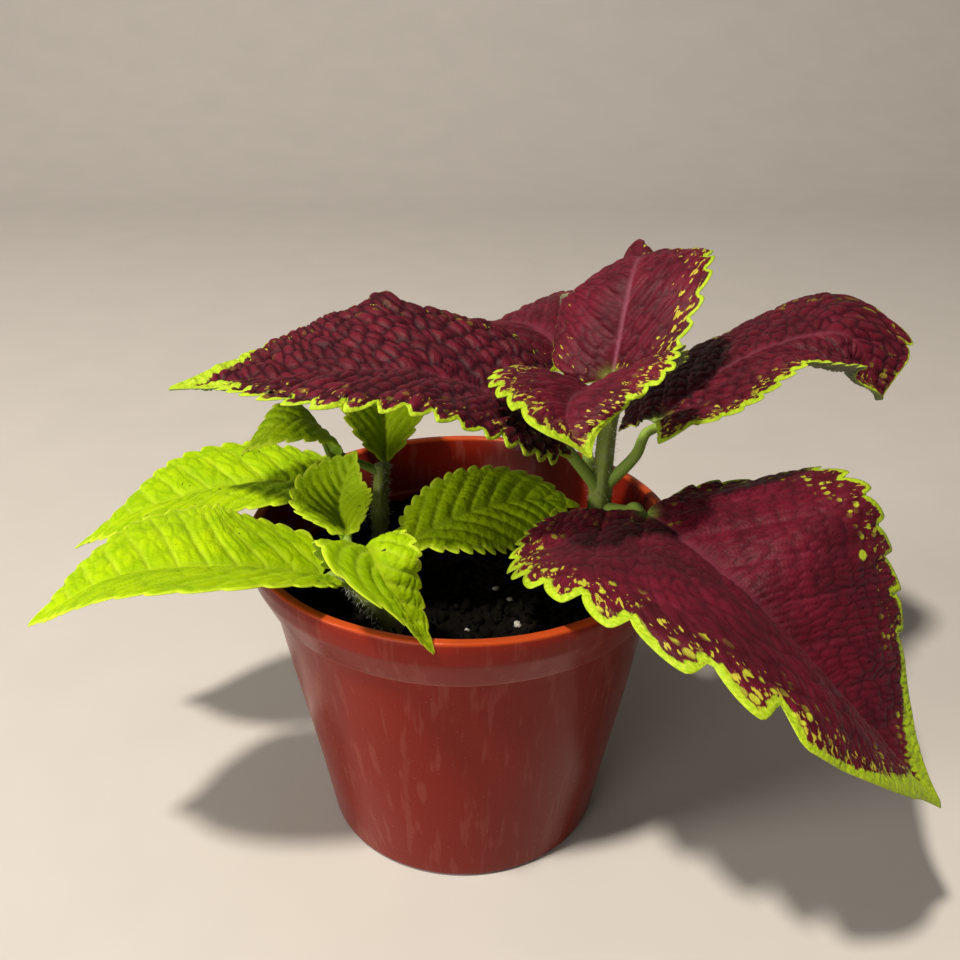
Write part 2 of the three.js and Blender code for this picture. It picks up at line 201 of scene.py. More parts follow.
def random_from(x, y, seed):
    """A number from 0 to 1 that looks random but depends only on x, y and the seed: the fraction left
    of a large multiple of a sine."""
    wave = np.sin(x * WAVE_STEPS[0] + y * WAVE_STEPS[1] + seed * WAVE_STEPS[2]) * WAVE_SIZE
    return wave - np.floor(wave)


def cell_relief(x, y, seed):
    """How far a place lies from the net of lines between randomly placed seeds, one in each unit
    square: the distance to the second nearest seed less the distance to the nearest one."""
    column, row = np.floor(x), np.floor(y)
    nearest = np.full(x.shape, 9.0)
    second = np.full(x.shape, 9.0)
    for across in (-1, 0, 1):
        for up in (-1, 0, 1):
            u, v = column + across, row + up
            seed_x = u + 0.5 + CELL_WANDER * (random_from(u, v, seed) - 0.5)
            seed_y = v + 0.5 + CELL_WANDER * (random_from(u, v, seed + 5) - 0.5)
            distance = np.hypot(seed_x - x, seed_y - y)
            second = np.minimum(second, np.maximum(nearest, distance))
            nearest = np.minimum(nearest, distance)
    return second - nearest


def smooth_noise(x, y, seed):
    """Random heights on a unit grid, blended between by the smooth step 3t^2 - 2t^3."""
    column, row = np.floor(x), np.floor(y)
    tx, ty = x - column, y - row
    tx, ty = tx * tx * (3 - 2 * tx), ty * ty * (3 - 2 * ty)
    low = random_from(column, row, seed) * (1 - tx) + random_from(column + 1, row, seed) * tx
    high = random_from(column, row + 1, seed) * (1 - tx) + random_from(column + 1, row + 1, seed) * tx
    return low * (1 - ty) + high * ty - 0.5


# %% [markdown]
# ## Shader maths as expressions
# A leaf's colouring is a lot of small sums: how near the edge, how near a vein, how random. Nodes for
# them could be placed one by one, but a wrapper round a node's socket lets the sums be written as
# ordinary Python, and each operation then adds its own Math node.

# %% Node wrapper


class Wire:
    """The output of a node, which can be added, multiplied and compared with numbers or other wires."""

    def __init__(self, paint, socket):
        self.paint, self.socket = paint, socket

    def __add__(self, other):
        return self.paint.maths("ADD", self, other)

    def __sub__(self, other):
        return self.paint.maths("SUBTRACT", self, other)

    def __rsub__(self, other):
        return self.paint.maths("SUBTRACT", other, self)

    def __mul__(self, other):
        return self.paint.maths("MULTIPLY", self, other)

    def __truediv__(self, other):
        return self.paint.maths("DIVIDE", self, other)

    __radd__, __rmul__ = __add__, __mul__

    def ramp(self, low, high):
        """0 below low, 1 above high, and smooth between; low above high turns it round."""
        settings = {"interpolation_type": "SMOOTHSTEP"}
        return self.paint.node("ShaderNodeMapRange", settings, {0: self, 1: low, 2: high})


class Paint:
    """A material made of nodes, ending in one Principled BSDF."""

    def __init__(self, name):
        self.material = bpy.data.materials.new(name)
        self.material.use_nodes = True
        self.tree = self.material.node_tree
        self.tree.nodes.clear()

    def node(self, kind, settings=None, inputs=None, output=0):
        """Adds a node, makes its settings, then fills or links its sockets."""
        made = self.tree.nodes.new(kind)
        for key, value in (settings or {}).items():
            setattr(made, key, value)
        for key, value in (inputs or {}).items():
            if isinstance(value, Wire):
                self.tree.links.new(value.socket, made.inputs[key])
            else:
                made.inputs[key].default_value = value
        return Wire(self, made.outputs[output])

    def maths(self, operation, first, second):
        return self.node("ShaderNodeMath", {"operation": operation}, {0: first, 1: second})

    def mix(self, share, first, second):
        """From the first colour to the second by a share from 0 to 1; a colour may be three numbers."""
        first, second = ((*c, 1) if isinstance(c, tuple) else c for c in (first, second))
        return self.node("ShaderNodeMix", {"data_type": "RGBA"}, {0: share, 6: first, 7: second}, 2)

    def layers(self, colour, *layers):
        """Lays colours over a first one, each with the share that it covers."""
        for share, over in layers:
            colour = self.mix(share, colour, over)
        return colour

    def stored(self, name, output="Fac"):
        """A number or vector stored on the piece's points."""
        return self.node("ShaderNodeAttribute", {"attribute_name": name}, output=output)

    def place(self):
        return self.node("ShaderNodeTexCoord", output="Object")

    def stretched(self, vector, x, y, z):
        return self.node("ShaderNodeVectorMath", {"operation": "MULTIPLY"}, {0: vector, 1: (x, y, z)})

    def noise(self, vector, scale, detail=2.0, roughness=0.5):
        inputs = {"Vector": vector, "Scale": scale, "Detail": detail, "Roughness": roughness}
        return self.node("ShaderNodeTexNoise", None, inputs)

    def cells(self, vector, scale, feature="F1", output="Distance"):
        inputs = {"Vector": vector, "Scale": scale}
        return self.node("ShaderNodeTexVoronoi", {"feature": feature}, inputs, output)

    def bump(self, height, distance, strength=1.0, under=None):
        inputs = {"Height": height, "Distance": distance, "Strength": strength}
        if under is not None:
            inputs["Normal"] = under
        return self.node("ShaderNodeBump", None, inputs)

    def done(self, **sockets):
        """Ends the material in a Principled BSDF; a name's underscores stand for spaces."""
        inputs = {key.replace("_", " "): value for key, value in sockets.items()}
        shader = self.node("ShaderNodeBsdfPrincipled", None, inputs)
        output = self.tree.nodes.new("ShaderNodeOutputMaterial")
        self.tree.links.new(shader.socket, output.inputs["Surface"])
        return self.material


# %% [markdown]
# ## The studio
# The plant stands on a plain pale floor that sweeps up behind it. A sweep could be two planes, but a
# curve between floor and wall leaves no line behind the leaves. The light is a strong lamp high on the
# left and in front, where the shadows under the leaves say that it stood. Two weaker and larger ones
# stand lower on the same side, and a pale surrounding light fills the shadows.

# %% Floor and lights
FLOOR_WIDTH = 2600.0
FLOOR_FRONT = -1300.0
WALL_START = 700.0
SWEEP_RADIUS = 500.0
WALL_HEIGHT = 1500.0


def add_floor():
    """A profile of a flat stretch, a quarter circle and an upright stretch, drawn out sideways."""
    turn = np.linspace(0, np.pi / 2, 24)
    bend_y = WALL_START + SWEEP_RADIUS * np.sin(turn)
    bend_z = SWEEP_RADIUS * (1 - np.cos(turn))
    y = np.concatenate([[FLOOR_FRONT], bend_y, [WALL_START + SWEEP_RADIUS]])
    z = np.concatenate([[0], bend_z, [WALL_HEIGHT]])
    x = np.array([-0.5, 0.5]) * FLOOR_WIDTH
    points = np.stack([np.tile(x, len(y)), np.repeat(y, 2), np.repeat(z, 2)], axis=1)
    floor = add_mesh("floor", points, [grid_faces(len(y), 2)])
    paint = Paint("floor_paint")
    grain = paint.noise(paint.place(), 30.0)
    colour = paint.mix(grain, (0.39, 0.362, 0.342), (0.43, 0.398, 0.376))
    floor.data.materials.append(paint.done(Base_Color=colour, Roughness=0.75))


def add_lamp(name, place, aim, size, power, colour):
    data = bpy.data.lights.new(name, "AREA")
    data.shape, data.size, data.energy, data.color = "DISK", size, power, colour
    lamp = bpy.data.objects.new(name, data)
    lamp.location = place
    lamp.rotation_euler = (Vector(aim) - Vector(place)).to_track_quat("-Z", "Y").to_euler()
    bpy.context.scene.collection.objects.link(lamp)


def add_world(colour, strength):
    world = bpy.data.worlds.new("studio")
    world.use_nodes = True
    background = world.node_tree.nodes["Background"]
    background.inputs["Color"].default_value = (*colour, 1)
    background.inputs["Strength"].default_value = strength
    bpy.context.scene.world = world


bpy.context.scene.view_settings.view_transform = "Standard"
add_floor()
add_lamp("key", (-0.36, -0.46, 1.33), (0, 0, 0.08), 0.12, 29, (1.0, 0.94, 0.82))
add_lamp("fill", (-1.0, -0.42, 0.52), (0, 0, 0.09), 0.35, 10, (1.0, 0.95, 0.86))
add_lamp("bounce", (-0.45, -0.75, 0.22), (-0.03, 0, 0.10), 0.5, 3, (1.0, 0.95, 0.88))
add_world((1.0, 0.96, 0.88), 0.15)

# %% [markdown]
# ## The plant in numbers
# A coleus grows its leaves in pairs on square stems. Each leaf is written as a path that starts inside
# its stem, follows the stalk to the foot of the blade at the third point, and runs on along the rib to
# the tip. Beside it stand the widest half on either side, how steeply each half rises from level at the
# foot, the middle and the tip, how many degrees it curls up on the way to its edge, and how many more
# in the last fifth. A rise or a curl may hold more values, which stand at even steps from the foot to
# the tip. Those numbers made the solids, so the fine leaves lie where the solids do. The rest is finer
# than a solid needs: the teeth, the slant of the side veins, how puffed the skin is, how wide the lime
# hem is at the foot and the tip and where it starts to widen, how much of it each edge has, how far up
# the foot is bare of it, and how spotted. A pair is the left half and the right half, seen from above
# and looking to the tip.

# %% Leaf and stem sizes
BURGUNDY = dict(wide=0.29, base=(0.5, 0.5), taper=(1.3, 1.3), sweep=(-0.51, 0.4))
LIME = dict(wide=0.36, base=(0.34, 0.34), taper=(1.1, 1.1), sweep=(-0.5, 0.41))


def teeth(count, first, last, depth, hook, spread=1.0):
    """So many teeth between two shares of the rib, their depth at either end in mm, how far they are
    pushed forward, and a power that spreads them out towards the tip where it is below 1."""
    return dict(count=count, first=first, last=last, depth=depth, hook=hook, spread=spread)


LIME_TEETH = (teeth(14, 0.06, 0.93, (1.4, 1.8), 0.5), teeth(14, 0.06, 0.93, (2.0, 2.6), 0.4))
SMALL_TEETH = (teeth(9, 0.06, 0.9, (1.1, 1.4), 0.8), teeth(9, 0.06, 0.9, (1.1, 1.4), 0.8))

LEAVES = [
    dict(name="burgundy_leaf_left", form=BURGUNDY | dict(base=(0.5, 0.75), taper=(1.7, 1.05)),
         rows=280, strips=46, stalk=(1.7, 1.2),
         path=[(35, 9.8, 85), (25, 7, 99), (15.5, 3, 110.5), (-10.5, -3.5, 122.5), (-37.5, -7.5, 122.5),
               (-68.5, -3.5, 118.5)],
         width=(31.5, 34), fold=((-3, 17, 12), (26, 10, 8)), curl=(-18, 0), hem=(-35, -60),
         teeth=(teeth(16, 0.05, 0.84, (2.8, 3.4), 0.9), teeth(12, 0.05, 0.84, (1.6, 2.4), 0.6)),
         slant=(0.75, 0.85), veins=8, cells=(2.6, 5.0), puff=1.0, spots=(0.45, 0.35), dots=0.15,
         rim=(0.75, 8.0, 0.66), bumps=[(0.3, 0.92, 3.0, 4.0)]),
    dict(name="burgundy_leaf_centre", form=BURGUNDY | dict(base=(0.42, 0.37), sweep=(-0.36, 0.4)),
         rows=210, strips=42, stalk=(1.4, 1.1),
         path=[(36.1, 10.4, 107), (36.8, 13.2, 110), (36.8, 14, 114), (41, 22, 135.5),
               (46, 39.5, 137.5), (51, 57, 127.5)],
         width=(24, 20), fold=((21, -20, -4), (16, 12, 6)), curl=(-28, 0), hem=(-50, 0),
         teeth=(teeth(9, 0.05, 0.84, (1.4, 1.8), 0.6), teeth(13, 0.05, 0.9, (1.8, 2.4), 0.6)),
         slant=(0.6, 1.7), veins=7, cells=(1.9, 6.0), puff=0.5, spots=(0.3, 0.9), dots=0.0,
         rim=(0.8, 2.2, 0.8), edge=(0.3, 1), bumps=[(0.88, -0.3, 8.0, 4.2)], pink=0.32),
    dict(name="burgundy_leaf_front", form=BURGUNDY | dict(base=(0.42, 0.42)),
         rows=170, strips=42, stalk=(1.4, 1.1),
         path=[(36.1, 10.4, 107), (35.7, 6, 110.8), (34.6, 0.5, 114), (25.5, -13, 121),
               (21.5, -31, 122), (26, -39.5, 117)],
         width=(26, 19.5), fold=((37, 30, 16), (7, 19, 15)), curl=(0, -14), hem=(0, -30),
         teeth=(teeth(10, 0.04, 0.76, (1.8, 2.4), 0.6), teeth(10, 0.04, 0.76, (1.8, 2.2), 0.6)),
         slant=(0.9, 0.9), veins=7, cells=(1.7, 5.0), puff=0.5, spots=(1.0, 1.0), dots=0.1,
         rim=(1.0, 2.0, 0.62), pink=0.2),
    dict(name="burgundy_leaf_right", form=BURGUNDY | dict(base=(0.36, 0.46), taper=(0.9, 0.85)),
         rows=270, strips=44, stalk=(1.7, 1.2),
         path=[(35.2, 9.9, 86), (42.5, 8, 95.5), (48, 10, 104.5), (73, 23, 117),
               (97, 24, 121.5), (106, 19.5, 104.5)],
         width=(34, 31.5), fold=((-16, -3, 42), (24, 20, -9, -50, 75)),
         curl=(-15, (0, 0, 45, 135, 150)), hem=(-50, 0),
         teeth=(teeth(10, 0.05, 0.84, (1.6, 2.0), 0.5), teeth(12, 0.1, 0.72, (2.8, 3.4), 0.5)),
         slant=(0.9, 0.9), veins=8, cells=(2.3, 4.4), puff=0.75, spots=(0.15, 1.0), dots=0.4,
         rim=(1.2, 1.6, 0.8), edge=(0.3, 1), pink=0.25),
    dict(name="burgundy_leaf_low_right", rows=280, strips=50, stalk=(1.8, 1.3),
         form=dict(wide=0.22, base=(0.02, 0.36), taper=(1.0, 1.1), sweep=(-0.7, 0.29)),
         path=[(34.7, 9.6, 80.5), (40.5, 3, 83), (44, -6.5, 87.5), (62, -32.5, 81.5),
               (81.5, -45.5, 62.5), (105.5, -56.5, 40)],
         width=(44.5, 45.5), fold=((2, 25, -8), (0, 38, 10)), curl=(-7, (-8, -45, -30)), hem=(0, -25),
         teeth=(teeth(11, 0.08, 0.74, (2.2, 3.6), 1.8, 0.9),
                teeth(12, 0.03, 0.54, (1.6, 5.8), 0.8, 0.66)),
         slant=(0.6, 0.9), veins=8, cells=(1.8, 5.0), puff=0.52, spots=(0.5, 0.9), dots=1.0,
         rim=(1.4, 9.0, 0.55), bare=0.12, patches=[(0.38, -0.72, 1.0, 1.6)]),
    dict(name="burgundy_leaf_back", form=BURGUNDY | dict(base=(0.2, 0.36)), rows=120, strips=26,
         stalk=(1.6, 1.1), path=[(34.7, 9.6, 80.5), (31, 22.5, 97), (28.5, 35.5, 110), (19, 47.5, 116),
                                 (9, 61, 112), (2, 76, 103)],
         width=(22, 24), fold=((10, 10, 10), (10, 16, 4)), curl=(-10, -5), hem=(-30, -30),
         teeth=(teeth(9, 0.05, 0.8, (1.8, 2.2), 0.6), teeth(9, 0.05, 0.8, (1.8, 2.2), 0.6)),
         slant=(0.8, 0.8), veins=8, cells=(3.0, 3.0), puff=0.5, spots=(0.4, 0.4), dots=0.2,
         rim=(1.0, 3.0, 0.76)),
    dict(name="lime_front_leaf_left", form=LIME, rows=240, strips=36, stalk=(1.5, 1.1),
         path=[(-25.9, -25, 81.5), (-29, -26, 82.5), (-31.5, -26.5, 83), (-51, -35, 90.5),
               (-73.5, -36, 88.5), (-95.5, -37, 76.5)],
         width=(21, 27), fold=((14, 16, 9), (15, 5, 11)), curl=(0, -7),
         teeth=(LIME_TEETH[0], teeth(17, 0.06, 0.93, (1.9, 2.4), 0.3)),
         slant=(1.0, 0.5), veins=11, cells=(2.6, 6.5), puff=0.36),
    dict(name="lime_front_leaf_right", form=LIME, rows=140, strips=30, stalk=(1.4, 1.1),
         path=[(-25.9, -25, 81.5), (-18.5, -20.5, 84), (-11.5, -16, 86), (1.5, -7, 88.5), (16.5, 2, 87),
               (30, 4, 84)],
         width=(14, 14), fold=((5, 20, 10), (7, -24, 4)), curl=(0, -14), teeth=LIME_TEETH, puff=0.25),
    dict(name="lime_front_leaf_back", form=LIME, rows=100, strips=26, stalk=(1.2, 0.9),
         path=[(-25.3, -25, 86), (-26, -21, 87.5), (-26.8, -17, 87.8), (-29.5, -8, 89), (-29, -1, 92.5),
               (-25.5, 4, 100)],
         width=(12, 9), fold=((31, 12, 6), (35, 17, 11)), puff=0.12),
    dict(name="lime_front_leaf_front", form=LIME, rows=120, strips=28, stalk=(1.2, 0.9),
         path=[(-25.3, -25, 86), (-24, -29.5, 89.3), (-23, -32.5, 91), (-19.5, -41.5, 98.5),
               (-15.5, -51, 96), (-5.5, -55, 81)],
         width=(9.5, 12.5), fold=((14, 14, 12), (-14, 28, 12)), puff=0.4),
    dict(name="lime_back_leaf_left", form=LIME | dict(base=(0.5, 0.5)), rows=240, strips=32,
         stalk=(1.4, 1.0), path=[(-21.6, 17.2, 78), (-26, 18.2, 81.5), (-30.5, 19, 83.5), (-55, 14, 86),
                                 (-79.5, 9.5, 81), (-101.5, 10.5, 68.5)],
         width=(19, 19), fold=((10, 10, 10), (6, 16, 2)), curl=(-10, -9), teeth=LIME_TEETH,
         slant=(1.0, 0.6), veins=11, cells=(2.8, 6.5)),
    dict(name="lime_back_leaf_upper_left", form=LIME, rows=110, strips=26, stalk=(1.2, 0.9),
         path=[(-20.8, 18.1, 86.5), (-26, 17.5, 89.5), (-32.5, 15, 94.5), (-36.5, 10.5, 104.5),
               (-44.5, 6.5, 106), (-54.4, 5, 97.5)],
         width=(10, 8.2), fold=((-20, -14, 10), (16, 10, 7)), puff=0.2),
    dict(name="lime_back_leaf_upper_right", form=LIME | dict(base=(0.1, 0.1), sweep=(0, 0.3)),
         rows=110, strips=26, stalk=(1.2, 0.9),
         path=[(-20.8, 18.1, 86.5), (-20.3, 19.8, 87.3), (-20.2, 21.4, 88.2), (-20.8, 30, 94.5),
               (-21.5, 42, 98.5), (-23.5, 54, 99)],
         width=(13, 13), fold=((30, 20, 10), (30, 20, 10)), puff=0.15),
]

STEMS = [
    dict(name="burgundy_stem", radius=(2.8, 2.1), nodes=(0.55, 0.63, 0.97),
         path=[(32, 8, 46), (34, 9, 70), (35.3, 10, 92), (36.2, 10.4, 110)]),
    dict(name="lime_front_stem", radius=(2.6, 2.1), nodes=(0.7, 1),
         path=[(-12, -22, 46), (-16.5, -23.2, 66), (-25.8, -25, 81.5), (-25.2, -25, 88.5)]),
    dict(name="lime_back_stem", radius=(2.3, 1.8), nodes=(0.68, 1),
         path=[(-21.3, 15.5, 46), (-21.8, 16.5, 66), (-21.6, 17.2, 79), (-20.6, 18.3, 89.5)]),
]
print("leaves:", len(LEAVES), "stems:", len(STEMS))

# %% [markdown]
# ## The shape of a blade
# A blade could be sculpted, or cut from a plane and bent with modifiers. Here it is a function instead:
# two numbers, how far along the rib and how far across, give a point. First the flat outline is worked
# out with its teeth. Then each half is bent in two arcs, one for the curl and one for the hem, and
# carried along the rib, so a drooping tip or a rolled edge is a matter of a few angles. The flat places
# are kept, because veins, spots and the hem follow the flat leaf, not the bent one.

# %% Blade shape
TIP = 0.98
CROWD = 1.25
CROWD_ACROSS = 0.85
HEM = 0.2
HEM_END = 0.86
SWEEP_END = 0.4
LIFT = 0.6
RIB_SAMPLES = 161
SWELLING_PART = 0.72
LAST_SWELL = 0.05
LEAST_DEPTH, DEPTH_SPREAD = 0.75, 0.5
TOOTHED_WIDTH = 6
LIFTED_WIDTH = 12
SMALLEST_TURN = 0.001


def curve_points(path, t):
    """A smooth curve through the path's points: at each stretch a cubic whose slope at a point is half
    the step between its neighbours, with the ends mirrored to give them neighbours."""
    p = np.asarray(path, float)
    p = np.vstack([2 * p[0] - p[1], p, 2 * p[-1] - p[-2]])
    place = np.clip(t, 0, 1) * (len(p) - 3)
    i = np.minimum(place.astype(int), len(p) - 4)
    u = (place - i)[:, None]
    a, b, c, d = p[i], p[i + 1], p[i + 2], p[i + 3]
    squared, cubed = 2 * a - 5 * b + 4 * c - d, 3 * b - 3 * c + d - a
    return 0.5 * (2 * b + (c - a) * u + squared * u**2 + cubed * u**3)


def unit(v):
    return v / np.linalg.norm(v, axis=-1, keepdims=True)


def rib_frames(path):
    """Places along the rib with the direction along it, to its right and up from it."""
    t = np.linspace(2 / (len(path) - 1), 1, RIB_SAMPLES)
    point = curve_points(path, t)
    along = unit(np.gradient(point, axis=0))
    right = unit(np.cross(along, [0, 0, 1]))
    up = np.cross(right, along)
    return dict(point=point, along=along, right=right, up=up, length=walked_along(point))


def frame_at(frames, distance):
    """The rib's frame at a distance along it, carried on straight past both ends."""
    held = np.clip(distance, 0, frames["length"][-1])
    blend = {
        key: np.stack([np.interp(held, frames["length"], frames[key][:, k]) for k in range(3)], axis=-1)
        for key in ("point", "along", "right", "up")
    }
    blend["point"] = blend["point"] + blend["along"] * (distance - held)[..., None]
    return blend


def half_width(form, half, s):
    """Half width at a share s of the rib: a sine up to the widest place, then a cosine to the tip."""
    base, wide = form["base"][half], form["wide"]
    rising = base + (1 - base) * np.sin(np.pi / 2 * np.clip(s / wide, 0, 1)) ** 0.8
    falling = np.cos(np.pi / 2 * np.clip((s - wide) / (1 - wide), 0, 1)) ** form["taper"][half]
    return np.where(s < wide, rising, falling)


def toothed_edge(teeth, a, b, seed):
    """How far a smooth outline through the flat places a, b moves at each of its points to become
    toothed. From a notch a tooth swells out by a sine over most of its length and drops back by a
    cosine, so the edge moves in by the depth less the swell, and forward by the hook times its square.
    Past the last notch it swells out once more into the smooth tip. Depths differ by up to a quarter."""
    step_a, step_b = np.gradient(a), np.gradient(b)
    size = np.hypot(step_a, step_b)
    walked = np.cumsum(size)
    walked = (walked - walked[0]) / (walked[-1] - walked[0])
    first, last = teeth["first"], teeth["last"]
    x = np.clip((walked - first) / (last - first), 0, 1)
    phase = teeth["count"] * x ** teeth["spread"]
    t = phase - np.floor(phase)
    swell = np.sin(np.pi / 2 * np.clip(t / SWELLING_PART, 0, 1)) ** 0.75
    swell = swell * np.cos(np.pi / 2 * np.clip((t - SWELLING_PART) / (1 - SWELLING_PART), 0, 1)) ** 0.6
    before, after = walked < first, walked >= last
    swell = np.where(before, np.cos(np.pi / 2 * np.clip(walked / first, 0, 1)), swell)
    swell = np.where(after, np.sin(np.pi / 2 * np.clip((walked - last) / LAST_SWELL, 0, 1)), swell)
    depth = between(teeth["depth"], x)
    inward = depth * (LEAST_DEPTH + DEPTH_SPREAD * random_from(np.floor(phase), 0.0, seed)) * (1 - swell)
    forward = np.where(before | after, 0, teeth["hook"] * swell**2)
    along, across = step_a / size, step_b / size
    return forward * along + inward * across, forward * across - inward * along


def through(values, x):
    """The polynomial through values that stand at even steps from x = 0 to 1; a lone number is flat."""
    values = np.atleast_1d(values)
    return np.polyval(np.polyfit(np.linspace(0, 1, len(values)), values, len(values) - 1), x)


def arc_step(start, turn, length):
    """How far a strip reaches out and up that starts at an angle and turns by so many degrees a mm."""
    angle = np.radians(start)
    rate = np.radians(np.where(np.abs(turn) < SMALLEST_TURN, SMALLEST_TURN, turn))
    end = angle + rate * length
    return (np.sin(end) - np.sin(angle)) / rate, (np.cos(angle) - np.cos(end)) / rate


def blade_sheet(leaf, seed):
    """The middle surface of a blade. Rows are shares along the rib, and columns run from the left edge
    at -1 to the right edge at 1, crowding towards both. Returns the points and their flat places."""
    form, frames = leaf["form"], rib_frames(leaf["path"])
    total = frames["length"][-1]
    even = np.linspace(-1, 1, 2 * leaf["strips"] + 1)
    crowded = np.sign(even) * np.abs(even) ** CROWD_ACROSS
    share, side = np.meshgrid(np.linspace(0, 1, leaf["rows"]), crowded, indexing="ij")

    def halves(left, right):
        return np.where(side > 0, right, left)

    q = np.abs(side)
    s = TIP * share**CROWD
    w = halves(*(leaf["width"][half] * half_width(form, half, s) for half in (0, 1)))
    lean = between(form["sweep"], np.clip(s / SWEEP_END, 0, 1) ** 0.8)
    a = total * s + w * q * lean * np.clip((1 - s) * 5, 0, 1)
    b = w * q
    moves = [toothed_edge(leaf["teeth"][half], a[:, -half], b[:, -half], seed + half) for half in (0, 1)]
    move_a, move_b = (halves(moves[0][k][:, None], moves[1][k][:, None]) for k in (0, 1))
    a = a + move_a * np.clip(w / TOOTHED_WIDTH, 0, 1) * q**4
    b = b + move_b * np.clip(w / TOOTHED_WIDTH, 0, 1) * q**4
    x = np.clip(a / total, 0, 1)
    fold = halves(*(through(leaf["fold"][half], x) for half in (0, 1)))
    hem_start = (1 - HEM) * w
    curl = halves(*(through(leaf["curl"][half], x) / leaf["width"][half] for half in (0, 1)))
    hem = halves(*(leaf["hem"][half] / (HEM * leaf["width"][half]) for half in (0, 1)))
    hem = hem * np.clip((HEM_END - s) * 6, 0, 1)
    out, up = arc_step(fold, curl, np.minimum(b, hem_start))
    turned = fold + curl * np.minimum(b, hem_start)
    hem_out, hem_up = arc_step(turned, hem, np.maximum(b - hem_start, 0))
    fade = np.clip((1 - s) * 3, 0, 1) * np.minimum(w / LIFTED_WIDTH, 1) * np.sin(np.pi * q**0.8)
    at = frame_at(frames, a)
    points = at["point"] + at["right"] * (np.sign(side) * (out + hem_out))[..., None]
    points = points + at["up"] * (up + hem_up + LIFT * fade)[..., None]
    return points, dict(s=s, q=q, side=side, w=w, a=a, b=b, fade=fade, total=total)


left_leaf, _ = blade_sheet(LEAVES[0], 1)
print("left leaf spans, mm:", np.ptp(left_leaf.reshape(-1, 3), axis=0).round(1))

# %% [markdown]
# ## Veins and pillows
# A coleus leaf has side veins that slant forward from the rib, and finer veins that join them like the
# rungs of a ladder. The skin between them is puffed up like a quilt, in pillows two or three millimetres
# wide. So the flat leaf gets a second pair of directions: one across the side veins and one along them.
# The pillows are then cells drawn out between two side veins, and the same two directions stretch the
# streaks of colour. A bump map would give the shading, but not the broken outline and the shadows, so
# the pillows are real.

# %% Veins and pillows
VEIN_HALF = 0.55
RIB_HALF = 0.9
NET_HALF = 0.25
WANDER, WANDER_SIZE = 1.3, 5
RIPPLE_SIZE = 8
QUILT = 1.1
GROOVE = 0.45


def by_side(field, pair):
    """The first value of a pair on the left half and the second on the right."""
    return np.where(field["side"] > 0, pair[1], pair[0])


def slanted(leaf, field):
    """Distances across and along the side veins: the flat place turned by the slant of the veins, the
    same way on both halves."""
    slant = by_side(field, leaf["slant"])
    size = np.sqrt(1 + slant**2)
    return (field["a"] - slant * field["b"]) / size, (slant * field["a"] + field["b"]) / size, size


def skin_relief(leaf, field, seed):
    """How far the skin stands out, and the fields veins and hollow_shade, the net round the pillows
    where the skins paint shade. Between side veins it rises by half a sine. On that sit the pillows,
    each rising steeply from the net round it and flat on top. The rib and the side veins are grooves."""
    across, along, size = slanted(leaf, field)
    gap = field["total"] / leaf["veins"] / size
    phase = across / gap
    side_vein = bell(np.abs(phase - np.round(phase)) * gap, VEIN_HALF) * (1.05 - 0.7 * field["q"])
    rib = bell(field["b"], RIB_HALF) * np.clip(1.1 - field["s"], 0, 1)
    veins = np.maximum(side_vein, rib)
    wide, long = leaf["cells"]
    across = across + WANDER * smooth_noise(across / WANDER_SIZE, along / WANDER_SIZE, seed + 2)
    along = along + WANDER * smooth_noise(across / WANDER_SIZE, along / WANDER_SIZE, seed + 3)
    net = cell_relief(across / wide + 9 * seed, along / long, seed)
    fine = cell_relief(across / wide * 2.1 + 9 * seed, along / long * 1.9, seed + 6)
    inner = np.clip(field["b"] / 2, 0, 1) * np.clip(field["w"] * (1 - field["q"]) / 1.5, 0, 1)
    pillows = leaf["puff"] * (1 - np.exp(-net / NET_HALF) - 0.55 + 0.3 * np.clip(fine, 0, 0.6))
    quilt = QUILT * leaf["puff"] * (np.abs(np.sin(np.pi * phase)) - 0.6) * field["fade"]
    ripple_b = field["b"] / RIPPLE_SIZE + 5 * field["side"]
    ripple = leaf["puff"] * smooth_noise(field["a"] / RIPPLE_SIZE + seed, ripple_b, seed + 1)
    relief = (pillows + ripple) * inner + quilt - GROOVE * veins * (1 - field["q"])
    return relief, veins, np.exp(-net / NET_HALF) * inner


def edge_distance(field):
    """The flat distance from every point to the toothed edge of its half or to the foot of the blade,
    whichever is nearer."""
    distance = np.empty_like(field["a"])
    middle = distance.shape[1] // 2
    for half, columns in ((0, slice(0, middle + 1)), (-1, slice(middle, None))):
        a, b = field["a"][:, columns], field["b"][:, columns]
        foot = field["q"][0, columns] > 0.25
        edge = np.concatenate([np.stack([field["a"][:, half], field["b"][:, half]], axis=1),
                               np.stack([a[0, foot], b[0, foot]], axis=1)])
        gaps = np.hypot(a.reshape(-1, 1) - edge[:, 0], b.reshape(-1, 1) - edge[:, 1])
        distance[:, columns] = gaps.min(axis=1).reshape(a.shape)
    return distance


def spot_field(field, places):
    """The sum of round bells, each a share of the rib, a side, a height and a radius in mm."""
    bells = np.zeros_like(field["a"])
    across = field["b"] * np.sign(field["side"])
    for s, side, height, radius in places:
        row = np.argmin(np.abs(field["s"][:, 0] - s))
        column = np.argmin(np.abs(field["side"][0] - side))
        gap = np.hypot(field["a"] - field["a"][row, column], across - across[row, column])
        bells += height * bell(gap, radius)
    return bells


# %% [markdown]
# ## From a sheet to a leaf
# The sheet gets a thickness that thins out towards the edge, with a rib and veins that stand out below.
# The stalk is a tube that runs on under the blade and sinks into the rib. Both faces and the wall round
# them close up into one skin.

# %% Leaf builder
BLADE = 0.5
EDGE_THICKNESS = 0.16
RIB = 0.8
RIB_WIDE = 1.1
STALK_SIDES = 20
STALK_RINGS = 64
STALK_END = 0.52
STALK_DEPTH = 0.6
RIM_THINS = 1.2
FAR = 30.0
HEM_FULL = 0.92
LEAST_BARE = 0.15
FOOT_LONG, FOOT_WIDE = 2.2, 2.4


